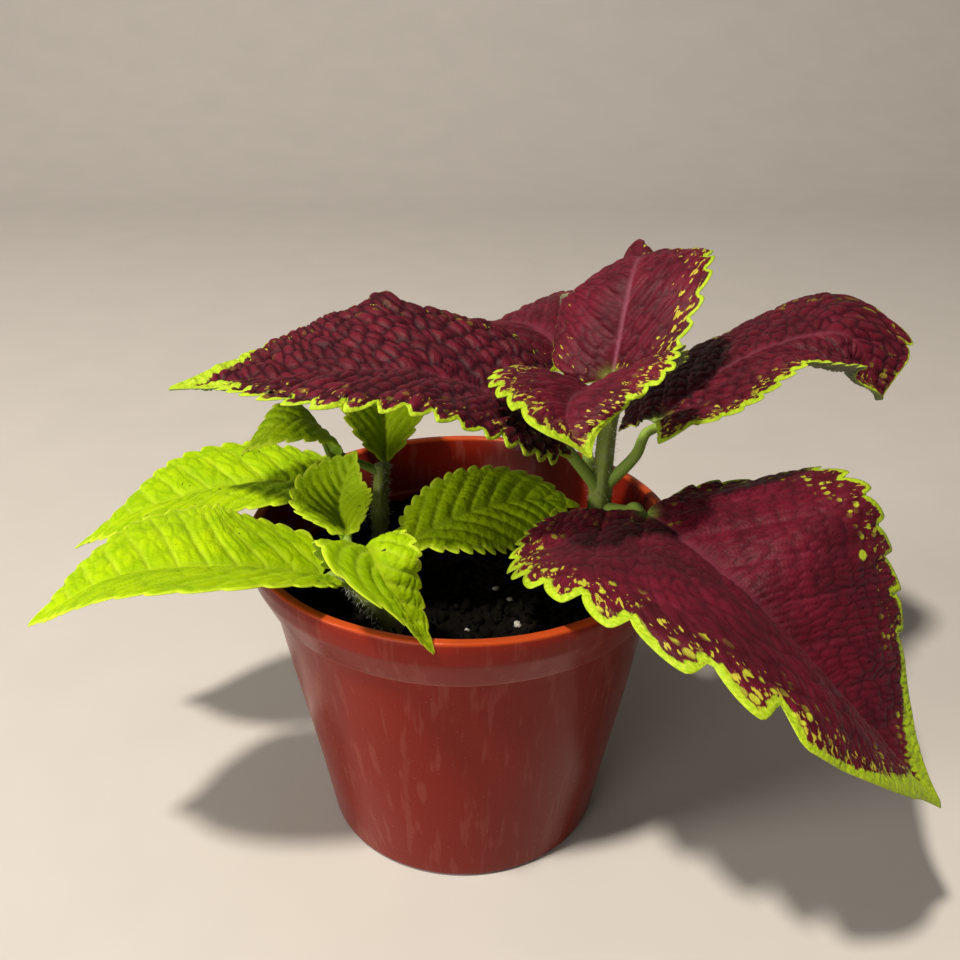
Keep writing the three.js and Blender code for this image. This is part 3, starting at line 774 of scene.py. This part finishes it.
def closed_shell(rows, columns):
    """Faces of two grids, one above the other, and of the wall round their border."""
    count = rows * columns
    index = np.arange(count).reshape(rows, columns)
    border = np.concatenate([index[0, :-1], index[:-1, -1], index[-1, :0:-1], index[:0:-1, 0]])
    following = np.roll(border, -1)
    wall = np.stack([border + count, following + count, following, border], axis=1)
    under = grid_faces(rows, columns, count)[:, ::-1]
    return np.vstack([grid_faces(rows, columns), under, wall])


def tube_along(centre, radius, sides, square=0.0):
    """Rings of points round a line of centres. Each ring stands across the line; square swells it
    towards four corners, by the cosine of four times the angle."""
    along = unit(np.gradient(centre, axis=0))
    start = [0, 1, 0] if abs(along[0, 2]) > 0.8 else [0, 0, 1]
    right = unit(np.cross(along, start))
    up = np.cross(right, along)
    angle = full_turn(sides)
    reach = radius[:, None] * (1 + square * np.cos(4 * angle))
    normal = right[:, None] * np.cos(angle)[:, None] - up[:, None] * np.sin(angle)[:, None]
    return centre[:, None] + normal * reach[..., None], normal


def leaf_stalk(leaf, first):
    """A tube from inside the stem to the blade, which sinks below the sheet as it becomes the rib. It
    sinks along the rib's own up direction, by its radius."""
    foot = 2 / (len(leaf["path"]) - 1)
    t = np.linspace(0, STALK_END, STALK_RINGS)
    centre = curve_points(leaf["path"], t)
    share, beyond = np.clip(t / foot, 0, 1), np.clip((t - foot) / (STALK_END - foot), 0, 1)
    radius = between(leaf["stalk"], share) * (1 - 0.75 * beyond)
    frames = rib_frames(leaf["path"])
    walked = walked_along(centre)
    up = frame_at(frames, np.maximum(walked - np.interp(foot, t, walked), 0))["up"]
    sink = np.clip((t - foot + 0.05) / 0.05, 0, 1) * (radius + STALK_DEPTH)
    rings, _ = tube_along(centre - up * sink[:, None], radius, STALK_SIDES)
    points = np.vstack([rings.reshape(-1, 3), rings[0].mean(0), rings[-1].mean(0)])
    sides, caps = tube_faces(STALK_RINGS, STALK_SIDES, first)
    return points, sides, caps


def add_leaf(leaf, material, slot, seed):
    """A whole leaf: the stalk, and the sheet moved along its normals by the relief and thickened."""
    sheet, field = blade_sheet(leaf, seed)
    relief, veins, hollow_shade = skin_relief(leaf, field, seed)
    relief = relief + spot_field(field, leaf.get("bumps", []))
    normal = unit(np.cross(np.gradient(sheet, axis=1), np.gradient(sheet, axis=0)))
    rim = edge_distance(field)
    half = between((EDGE_THICKNESS, BLADE), np.clip(rim / RIM_THINS, 0, 1)) / 2
    rib = RIB * (1 - field["s"]) * bell(field["b"], RIB_WIDE) + 0.3 * veins * (1 - field["q"])
    top = sheet + normal * (relief + half)[..., None]
    bottom = sheet + normal * (relief - half - rib)[..., None]
    stalk, stalk_sides, stalk_caps = leaf_stalk(leaf, 2 * sheet.shape[0] * sheet.shape[1])
    points = np.vstack([top.reshape(-1, 3), bottom.reshape(-1, 3), stalk])

    def stored(on_blade, on_stalk=0.0, below=None):
        under = on_blade if below is None else below
        both = [np.broadcast_to(v, rim.shape).ravel() for v in (on_blade, under)]
        return np.concatenate([*both, np.full(len(stalk), on_stalk)])

    across, along, _ = slanted(leaf, field)
    narrow, wide, start = leaf["rim"]
    opening = np.clip((field["s"] - start) / (HEM_FULL - start), 0, 1)
    edge = by_side(field, leaf.get("edge", (1, 1)))
    bare = np.clip(field["s"] / leaf.get("bare", 0.001), LEAST_BARE, 1)
    hem_width = between((narrow, wide), opening**1.5) * edge * bare
    wedge = 0.9 * bell(field["b"], 1.4) * np.clip((0.95 - field["s"]) * 8, 0, 1)
    flat = (across + 60 * seed, along, 5 * np.sign(field["side"]))
    fields = {
        "flat": np.stack([stored(part) for part in flat], axis=1),
        "rim": stored(rim, FAR),
        "hem": stored(rim / hem_width + wedge, FAR),
        "vein": stored(veins),
        # the net round the pillows, where the skins paint shade
        "hollow_shade": stored(hollow_shade * leaf["puff"]),
        "under": stored(0.0, below=1.0),
        "spots": stored(by_side(field, leaf["spots"]) * bare),
        "patch": stored(spot_field(field, leaf.get("patches", []))),
        "dots": stored(leaf["dots"] * bare**2),
        "rib": stored(leaf.get("pink", 0.15) * bell(field["b"], 0.5) * (1 - field["s"])),
        "foot": stored(np.exp(-((field["a"] / FOOT_LONG) ** 2) - (field["b"] / FOOT_WIDE) ** 2), 1.0),
        "stalk": stored(0.0, 1.0),
    }
    faces = [closed_shell(*rim.shape), stalk_sides, stalk_caps]
    piece = add_mesh(leaf["name"] + "_skin", points, faces, fields)
    return finish_piece(piece, material, slot, leaf["name"])


# %% [markdown]
# ## The burgundy skin
# On the plant the colours lie in zones: a lime hem that takes in every tooth and widens at the tip, pale
# spots just inside it that are drawn out along the side veins, and burgundy in the middle, pinker on
# the rib. The net of hollows between the pillows is painted nearly black, as painted shade. All of them
# can be told from the fields stored on the points, so the colouring follows the leaf however it is
# bent. Below, the leaf is a dull grey green. The hairs that make it velvety are too fine to model, so
# they are left to the shader's sheen.

# %% Burgundy leaf material
LIME_HEM = (0.22, 0.33, 0.004)
LIME_PALE = (0.34, 0.43, 0.02)
STALK_GREEN = (0.18, 0.26, 0.04)


def burgundy_paint():
    paint = Paint("burgundy_leaf_skin")
    flat = paint.stored("flat", "Vector")
    rim, hem, vein, hollow_shade = (paint.stored(key) for key in ("rim", "hem", "vein", "hollow_shade"))
    patches = paint.noise(flat, 0.11, 3.0)
    grain = paint.noise(flat, 1.6, 3.0)
    colour = paint.mix(patches.ramp(0.35, 0.65), (0.056, 0.0028, 0.0080), (0.092, 0.0036, 0.0125))
    streaks = paint.noise(paint.stretched(flat, 1.15, 0.42, 1), 1.0, 2.0, 0.55)
    near = rim.ramp(9.0, 2.5) * paint.stored("spots")
    pale = (streaks + near * 0.16).ramp(0.70, 0.76) * near.ramp(0.02, 0.25)
    size = paint.stretched(flat, 1.0, 0.8, 1)
    chosen = paint.cells(size, 0.5, "F1", "Color").ramp(0.42, 0.62) * patches.ramp(0.42, 0.54)
    dot = paint.cells(size, 0.5).ramp(0.42, 0.3) * chosen * rim.ramp(10.0, 6.0) * paint.stored("dots")
    wander = (paint.noise(paint.stretched(flat, 0.9, 0.3, 1), 1.0, 3.0, 0.6) - 0.5) * 1.5
    edge = (hem + wander).ramp(1.18, 0.86)
    lime = paint.mix(grain.ramp(0.35, 0.7), LIME_HEM, LIME_PALE)
    below = paint.mix(patches, (0.125, 0.150, 0.075), (0.130, 0.105, 0.080))
    below = paint.layers(below, (vein * 0.7, (0.26, 0.31, 0.16)), (edge * 0.3, LIME_HEM))
    colour = paint.layers(
        colour,
        (vein * 0.25, (0.16, 0.018, 0.036)),
        # painted shade: the net of hollows between the pillows, darkened nearly to black
        (hollow_shade.ramp(0.0, 0.75) * 0.88, (0.018, 0.001, 0.0035)),
        (pale * 0.9, (0.36, 0.33, 0.025)),
        (dot, (0.34, 0.36, 0.02)),
        (paint.stored("rib"), (0.36, 0.13, 0.20)),
        (edge, lime),
        (paint.stored("patch").ramp(0.35, 0.6), LIME_PALE),
        (paint.stored("under"), below),
        (paint.stored("foot"), STALK_GREEN),
    )
    fine = paint.cells(flat, 1.3)
    bump = paint.bump(fine + grain * 0.5, 0.0003, 0.3)
    return paint.done(Base_Color=colour, Roughness=grain * 0.16 + 0.48, Normal=bump,
                      Specular_IOR_Level=0.13,
                      Sheen_Weight=0.02, Sheen_Roughness=0.5, Sheen_Tint=(0.9, 0.6, 0.7, 1),
                      Subsurface_Weight=0.1, Subsurface_Radius=(1.0, 0.35, 0.3), Subsurface_Scale=0.0015)


burgundy_skin = burgundy_paint()
print("burgundy nodes:", len(burgundy_skin.node_tree.nodes))

# %% [markdown]
# ## The lime skin
# A lime leaf is one colour, but it is thin enough for the sun to shine into it, so it glows, and it is
# paler on its veins. Its hollows are painted deeper green, as painted shade. Subsurface scattering gives
# the glow. A few dark specks of soil have splashed on to it.

# %% Lime leaf material


def lime_paint():
    paint = Paint("lime_leaf_skin")
    flat = paint.stored("flat", "Vector")
    rim, vein, hollow_shade = (paint.stored(key) for key in ("rim", "vein", "hollow_shade"))
    patches = paint.noise(flat, 0.12, 3.0)
    grain = paint.noise(flat, 1.5, 3.0)
    specks = paint.noise(flat, 0.7, 0.0).ramp(0.86, 0.87)
    below = paint.mix(vein * 0.6, (0.20, 0.32, 0.02), (0.36, 0.48, 0.10))
    colour = paint.layers(
        paint.mix(patches.ramp(0.3, 0.7), (0.190, 0.300, 0.001), (0.265, 0.380, 0.001)),
        # painted shade: the hollows between the pillows, painted deeper green
        (hollow_shade * 1.15, (0.12, 0.23, 0.001)),
        (vein * 0.35, (0.38, 0.48, 0.03)),
        (rim.ramp(1.1, 0.3) * 0.6, (0.42, 0.54, 0.03)),
        (specks, (0.03, 0.03, 0.01)),
        (paint.stored("under"), below),
        (paint.stored("stalk"), STALK_GREEN),
    )
    fine = paint.cells(flat, 1.4)
    bump = paint.bump(fine + grain * 0.5, 0.0003, 0.4)
    return paint.done(Base_Color=colour, Roughness=grain * 0.18 + 0.46, Normal=bump,
                      Specular_IOR_Level=0.04, Subsurface_Weight=0.35,
                      Subsurface_Radius=(0.9, 1.0, 0.1), Subsurface_Scale=0.0025)


lime_skin = lime_paint()
print("lime nodes:", len(lime_skin.node_tree.nodes))

# %% [markdown]
# ## Putting the leaves on
# Every leaf has its own seed, so no two have the same pillows or spots. The lime leaves share one skin,
# flat edges and small teeth, without a hem or spots of another colour, apart from what a leaf says
# itself: the small ones are smoother, and the two long ones have larger teeth and are drawn into
# ripples that run out to the edge.

# %% Leaves
LIME_SKIN = dict(slant=(1.1, 1.1), veins=9, cells=(6.5, 2.2), puff=0.45, spots=(0, 0), dots=0,
                 rim=(1, 1, 0.5), curl=(0, 0), hem=(0, 0), teeth=SMALL_TEETH)
for seed, leaf in enumerate(LEAVES):
    if leaf["name"].startswith("burgundy"):
        add_leaf(leaf, burgundy_skin, "burgundy_leaf", seed + 1)
    else:
        add_leaf(LIME_SKIN | leaf, lime_skin, "lime_leaf", seed + 1)

# %% [markdown]
# ## Stems and their hairs
# The stems are square, as they are in the whole mint family, swell at each node where a pair of leaves
# leaves them, and are covered in short white hairs. Hair curves would be lost on export, so each hair
# is a thin cone of three sides that leans at random.

# %% Stems
SOIL_TOP = 66.0
STEM_SIDES = 32
STEM_RINGS = 150
SWELLING = 0.4
SQUARE = 0.07
STEM_END_RINGS = 6
NODE_LENGTH = 0.05
HAIR_RADIUS = 0.055
HAIR_SIDES = 3
HAIR_BEND = 0.55
HAIR_DROOP = (0, 0, -0.12)


def hair_cones(base, normal, length, random):
    """Points and faces of one bent cone for each base: two rings of three points and a tip, with the
    lean drawn at random round the normal."""
    lean = unit(normal + 0.75 * random.standard_normal((len(base), 3)) * 0.6)
    side = unit(np.cross(lean, [0.31, 0.52, 0.8]))
    other = np.cross(lean, side)
    angle = full_turn(HAIR_SIDES)
    ring = side[:, None] * np.cos(angle)[:, None] + other[:, None] * np.sin(angle)[:, None]
    droop = np.array(HAIR_DROOP)
    foot = base[:, None] + ring * HAIR_RADIUS
    middle = base[:, None] + (lean * length[:, None] * HAIR_BEND)[:, None] + ring * HAIR_RADIUS * 0.7
    tip = (base + lean * length[:, None] + droop * length[:, None])[:, None]
    points = np.concatenate([foot, middle, tip], axis=1).reshape(-1, 3)
    caps = np.vstack([fan_faces(np.arange(3) + 3, 6, False), [[2, 1, 0]]])
    quads, ends = (copies(f, len(base), 2 * HAIR_SIDES + 1) for f in (ring_faces(2, HAIR_SIDES), caps))
    return points, quads, ends


def stem_paint():
    """Pale green drawn out in fine lines along the stem, browner near the soil, with white hairs."""
    paint = Paint("stem_skin")
    place = paint.place()
    lines = paint.noise(paint.stretched(place, 1.0, 1.0, 0.12), 900.0, 3.0)
    patches = paint.noise(place, 120.0, 2.0)
    foot = paint.stored("height").ramp(74.0, SOIL_TOP)
    colour = paint.layers(
        paint.mix(lines, (0.12, 0.165, 0.022), (0.21, 0.245, 0.05)),
        (patches.ramp(0.5, 0.75) * 0.6, (0.09, 0.11, 0.018)),
        (foot * 0.7, (0.16, 0.13, 0.06)),
        (paint.stored("hair"), (0.58, 0.60, 0.48)),
    )
    bump = paint.bump(lines, 0.0003, 0.5)
    return paint.done(Base_Color=colour, Roughness=patches * 0.2 + 0.4, Normal=bump,
                      Specular_IOR_Level=0.25, Subsurface_Weight=0.15,
                      Subsurface_Radius=(0.8, 1.0, 0.3), Subsurface_Scale=0.0012)


def add_stem(stem, material, hairs, seed):
    t = np.linspace(0, 1, STEM_RINGS)
    centre = curve_points(stem["path"], t)
    length = walked_along(centre)
    share = length / length[-1]
    swell = sum(bell(share - node, NODE_LENGTH) for node in stem["nodes"])
    radius = between(stem["radius"], share) + SWELLING * swell
    radius[-STEM_END_RINGS:] *= np.cos(np.linspace(0, 1.35, STEM_END_RINGS))
    rings, normal = tube_along(centre, radius, STEM_SIDES, SQUARE)
    body = np.vstack([rings.reshape(-1, 3), rings[0].mean(0), rings[-1].mean(0)])
    sides, caps = tube_faces(STEM_RINGS, STEM_SIDES)
    random = np.random.default_rng(seed)
    above = np.flatnonzero(centre[:, 2] > SOIL_TOP)
    row = random.choice(above, hairs)
    column = random.integers(0, STEM_SIDES, hairs)
    hair_length = random.uniform(0.5, 1.7, hairs)
    hair_points, quads, ends = hair_cones(rings[row, column], normal[row, column], hair_length, random)
    points = np.vstack([body, hair_points])
    is_hair = np.concatenate([np.zeros(len(body)), np.ones(len(hair_points))])
    faces = [sides, caps, quads + len(body), ends + len(body)]
    piece = add_mesh(stem["name"] + "_skin", points, faces, {"hair": is_hair, "height": points[:, 2]})
    return finish_piece(piece, material, "stem_green", stem["name"])


stem_skin = stem_paint()
for seed, (stem, hairs) in enumerate(zip(STEMS, (500, 900, 300))):
    add_stem(stem, stem_skin, hairs, seed + 20)

# %% [markdown]
# ## The soil
# Potting mix is crumbs of dark peat with a few white grains of perlite. Its surface is a disc of rings
# and spokes, raised by noise of three sizes. Loose crumbs and perlite are small closed lumps with a few
# dozen faces, sunk a little into the surface.

# %% Soil
SOIL_BOTTOM = 2.7
SOIL_RADIUS_TOP = 45.2
SOIL_RADIUS_BOTTOM = 34.1
SOIL_RINGS = 110
SOIL_SPOKES = 220
SOIL_SIDE_RINGS = 12
LUMP_RINGS, LUMP_SIDES = 4, 7


def soil_height(x, y):
    """Long waves as in the solid, noise at 6 and 2.5 mm, and cells of 1.9 mm."""
    waves = 0.35 * (np.sin(1.9 * x) * np.cos(1.7 * y) + 0.8 * np.sin(0.5 * x + 0.8 * y))
    mounds = SOIL_TOP + waves + 1.0 * smooth_noise(x / 6, y / 6, 3)
    mounds = mounds + 1.3 * smooth_noise(x / 2.5, y / 2.5, 4)
    return mounds + 0.9 * np.clip(cell_relief(x / 1.9, y / 1.9, 5), 0, 0.6)


def lumps(place, size, random):
    """Closed lumps of rings and poles: a ball whose points are pushed in and out at random, stretched
    and turned."""
    polar = np.linspace(0, np.pi, LUMP_RINGS + 2)[1:-1, None]
    ball = turned(np.sin(polar), full_turn(LUMP_SIDES), np.cos(polar)).reshape(-1, 3)
    ball = np.vstack([ball, [0, 0, 1], [0, 0, -1]])
    count = len(place)
    rough = 1 + random.uniform(-0.28, 0.28, (count, len(ball), 1))
    stretch = random.uniform(0.65, 1.3, (count, 1, 3))
    lump = ball[None] * rough * stretch * size[:, None, None]
    angle = random.uniform(0, TWO_PI, count)[:, None]
    x = lump[..., 0] * np.cos(angle) - lump[..., 1] * np.sin(angle)
    y = lump[..., 0] * np.sin(angle) + lump[..., 1] * np.cos(angle)
    points = np.stack([x, y, lump[..., 2]], axis=-1) + place[:, None]
    quads, caps = (copies(f, count, len(ball)) for f in tube_faces(LUMP_RINGS, LUMP_SIDES, inward=True))
    return points.reshape(-1, 3), quads, caps


def soil_paint():
    paint = Paint("potting_soil")
    place = paint.place()
    crumbs = paint.cells(place, 700.0)
    grain = paint.noise(place, 900.0, 4.0)
    colour = paint.mix(crumbs, (0.0016, 0.0012, 0.0008), (0.004, 0.003, 0.002))
    colour = paint.mix(paint.noise(place, 140.0).ramp(0.55, 0.7) * 0.5, colour, (0.009, 0.006, 0.004))
    bump = paint.bump(grain + crumbs * 0.6, 0.0006, 0.8)
    return paint.done(Base_Color=colour, Roughness=grain * 0.2 + 0.75, Normal=bump,
                      Specular_IOR_Level=0.05)


def perlite_paint():
    paint = Paint("perlite")
    grain = paint.noise(paint.place(), 1500.0, 3.0)
    colour = paint.mix(grain, (0.24, 0.22, 0.19), (0.38, 0.36, 0.32))
    bump = paint.bump(grain, 0.0003, 0.6)
    return paint.done(Base_Color=colour, Roughness=grain * 0.1 + 0.8, Normal=bump)


def add_soil():
    """A closed plug: the disc, the wall down the inside of the pot and the flat bottom."""
    share = np.linspace(0, 1, SOIL_RINGS + 1)[1:]
    turn = full_turn(SOIL_SPOKES)
    reach, angle = np.meshgrid(share * SOIL_RADIUS_TOP, turn, indexing="ij")
    x, y = reach * np.cos(angle), reach * np.sin(angle)
    top = np.stack([x, y, soil_height(x, y)], axis=-1)
    down = np.linspace(0, 1, SOIL_SIDE_RINGS + 1)[1:, None]
    wall_radius = between((SOIL_RADIUS_TOP, SOIL_RADIUS_BOTTOM), down)
    wall_z = SOIL_TOP - 1 + (SOIL_BOTTOM - SOIL_TOP + 1) * down
    rings = np.concatenate([top, turned(wall_radius, turn, wall_z)])
    middle = [[0, 0, soil_height(np.zeros(1), np.zeros(1))[0]], [0, 0, SOIL_BOTTOM]]
    points = np.vstack([rings.reshape(-1, 3), middle])
    piece = add_mesh("soil_plug", points, tube_faces(rings.shape[0], SOIL_SPOKES, inward=True))
    return finish_piece(piece, soil_paint(), "soil", "soil")


def add_grains(name, count, smallest, largest, material, seed):
    random = np.random.default_rng(seed)
    reach = np.sqrt(random.uniform(0, 1, count)) * (SOIL_RADIUS_TOP - 2)
    angle = random.uniform(0, TWO_PI, count)
    x, y = reach * np.cos(angle), reach * np.sin(angle)
    size = random.uniform(smallest, largest, count)
    place = np.stack([x, y, soil_height(x, y) + size * 0.2], axis=1)
    points, quads, caps = lumps(place, size, random)
    piece = add_mesh(name, points, [quads, caps])
    return finish_piece(piece, material, "soil")


add_soil()
add_grains("soil_crumbs", 420, 0.6, 1.7, bpy.data.materials["potting_soil"], 40)
add_grains("perlite_grains", 46, 0.45, 1.1, perlite_paint(), 41)

# %% [markdown]
# ## The pot
# A nursery pot is moulded from thin plastic: a tapered wall, and a band round the top that steps out so
# that pots stack. It could be a cylinder with loops cut into it, but its wall is the same all the way
# round, so a profile turned about the middle is shorter and truer. The corners of the profile are
# rounded first. Cooling leaves such a wall faintly wavy, which is what breaks up its reflections.

# %% Pot
POT_PROFILE = [
    (0, 0), (34.7, 0), (35.6, 0.8), (47.4, 68), (48.4, 68.4), (51.9, 76), (52.5, 80), (52.1, 82),
    (50, 82), (45.8, 68), (34.4, 2.4), (0, 2.4),
]
POT_ROUNDING = [0, 0.5, 0.5, 0.25, 0.3, 0.8, 0.8, 0.6, 0.6, 2.0, 1.2, 0]
ROUND_STEPS = 6
LONGEST_STEP = 2.6
POT_SIDES = 200
WAVE = 0.10
DRAIN_HOLES = 6
DRAIN_RADIUS = 4.0
DRAIN_RING = 24.0
DRAIN_SIDES = 32
PLUG_BOTTOM, PLUG_TOP = -1.0, 3.4


def rounded(profile, radius):
    """The profile with each corner replaced by a curve that starts and ends a radius away from it and
    is drawn towards it."""
    p = np.asarray(profile, float)
    radius = np.asarray(radius, float)[1:-1, None]
    corner = p[1:-1]
    before = corner + unit(p[:-2] - corner) * radius
    after = corner + unit(p[2:] - corner) * radius
    t = np.linspace(0, 1, ROUND_STEPS)[None, :, None]
    bend = before[:, None] * (1 - t) ** 2 + corner[:, None] * 2 * t * (1 - t) + after[:, None] * t**2
    return np.vstack([p[:1], bend.reshape(-1, 2), p[-1:]])


def refined(profile, longest):
    """The profile with points added so that no stretch is longer than the given length."""
    pieces = [
        np.linspace(a, b, max(2, int(np.ceil(np.linalg.norm(b - a) / longest)) + 1))[:-1]
        for a, b in zip(profile[:-1], profile[1:])
    ]
    return np.vstack([*pieces, profile[-1:]])


def cut_drain_holes(pot):
    """Takes six upright plugs out of the floor."""
    turn = full_turn(DRAIN_SIDES)
    ring = np.stack([np.cos(turn), np.sin(turn)], axis=1) * DRAIN_RADIUS
    points, sides, caps = [], [], []
    for hole in range(DRAIN_HOLES):
        angle = (hole + 0.5) / DRAIN_HOLES * TWO_PI
        centre = np.array([np.cos(angle), np.sin(angle)]) * DRAIN_RING
        first = hole * (2 * DRAIN_SIDES + 2)
        low = np.column_stack([ring + centre, np.full(DRAIN_SIDES, PLUG_BOTTOM)])
        high = low + [0, 0, PLUG_TOP - PLUG_BOTTOM]
        points += [low, high, [[*centre, PLUG_BOTTOM]], [[*centre, PLUG_TOP]]]
        side, cap = tube_faces(2, DRAIN_SIDES, first)
        sides.append(side)
        caps.append(cap)
    plugs = add_mesh("drain_plugs", np.vstack(points), [np.vstack(sides), np.vstack(caps)])
    cut = pot.modifiers.new("drain", "BOOLEAN")
    cut.object, cut.operation, cut.solver = plugs, "DIFFERENCE", "EXACT"
    depsgraph = bpy.context.evaluated_depsgraph_get()
    opened = bpy.data.meshes.new_from_object(pot.evaluated_get(depsgraph))
    pot.modifiers.clear()
    pot.data = opened
    bpy.data.objects.remove(plugs)


def pot_paint():
    paint = Paint("pot_plastic_glossy")
    place = paint.place()
    clouds = paint.noise(place, 24.0, 3.0)
    # painted reflection: pale upright streaks on the wall stand for reflections
    streaks = paint.noise(paint.stretched(place, 1.0, 1.0, 0.05), 400.0, 2.0)
    dust = paint.noise(place, 1400.0, 2.0).ramp(0.70, 0.75)
    height = paint.node("ShaderNodeSeparateXYZ", None, {"Vector": place}, "Z")
    # painted highlight: a pale line round the step where the band meets the wall
    step = height.ramp(0.0676, 0.0681) * height.ramp(0.0690, 0.0684)
    colour = paint.layers(
        paint.mix(clouds, (0.116, 0.0065, 0.0028), (0.148, 0.009, 0.0038)),
        (streaks.ramp(0.54, 0.66) * 0.12, (0.28, 0.100, 0.075)),
        (dust * 0.05, (0.42, 0.26, 0.20)),
        (step * 0.5, (0.34, 0.10, 0.06)),
        # painted highlight: the top of the lip painted bright orange red, as if lit
        (height.ramp(0.0810, 0.0819) * 0.8, (0.40, 0.055, 0.010)),
    )
    soft = paint.noise(place, 55.0, 2.0)
    bump = paint.bump(soft, 0.0006, 0.35)
    fine = paint.bump(paint.noise(place, 900.0), 0.00006, 0.5, bump)
    return paint.done(Base_Color=colour, Roughness=clouds * 0.10 + dust * 0.3 + 0.20, Normal=fine,
                      Specular_IOR_Level=0.12, Coat_Weight=0.03, Coat_Roughness=0.1)


def add_pot():
    outline = refined(rounded(POT_PROFILE, POT_ROUNDING), LONGEST_STEP)
    radius, height = outline[1:-1, 0], outline[1:-1, 1]
    z, angle = np.meshgrid(height, full_turn(POT_SIDES), indexing="ij")
    waves = np.sin(3 * angle + z / 17) + 0.6 * np.sin(7 * angle - z / 11 + 1)
    waves = waves + 0.35 * np.sin(13 * angle + z / 7)
    reach = radius[:, None] + np.clip(z / 10, 0, 1) * WAVE * waves
    rings = turned(reach, angle, z)
    points = np.vstack([rings.reshape(-1, 3), [[0, 0, 0], [0, 0, outline[-1, 1]]]])
    piece = add_mesh("pot_wall", points, tube_faces(rings.shape[0], POT_SIDES))
    cut_drain_holes(piece)
    return finish_piece(piece, pot_paint(), "pot_plastic", "pot")


add_pot()

# %% End
print("done")
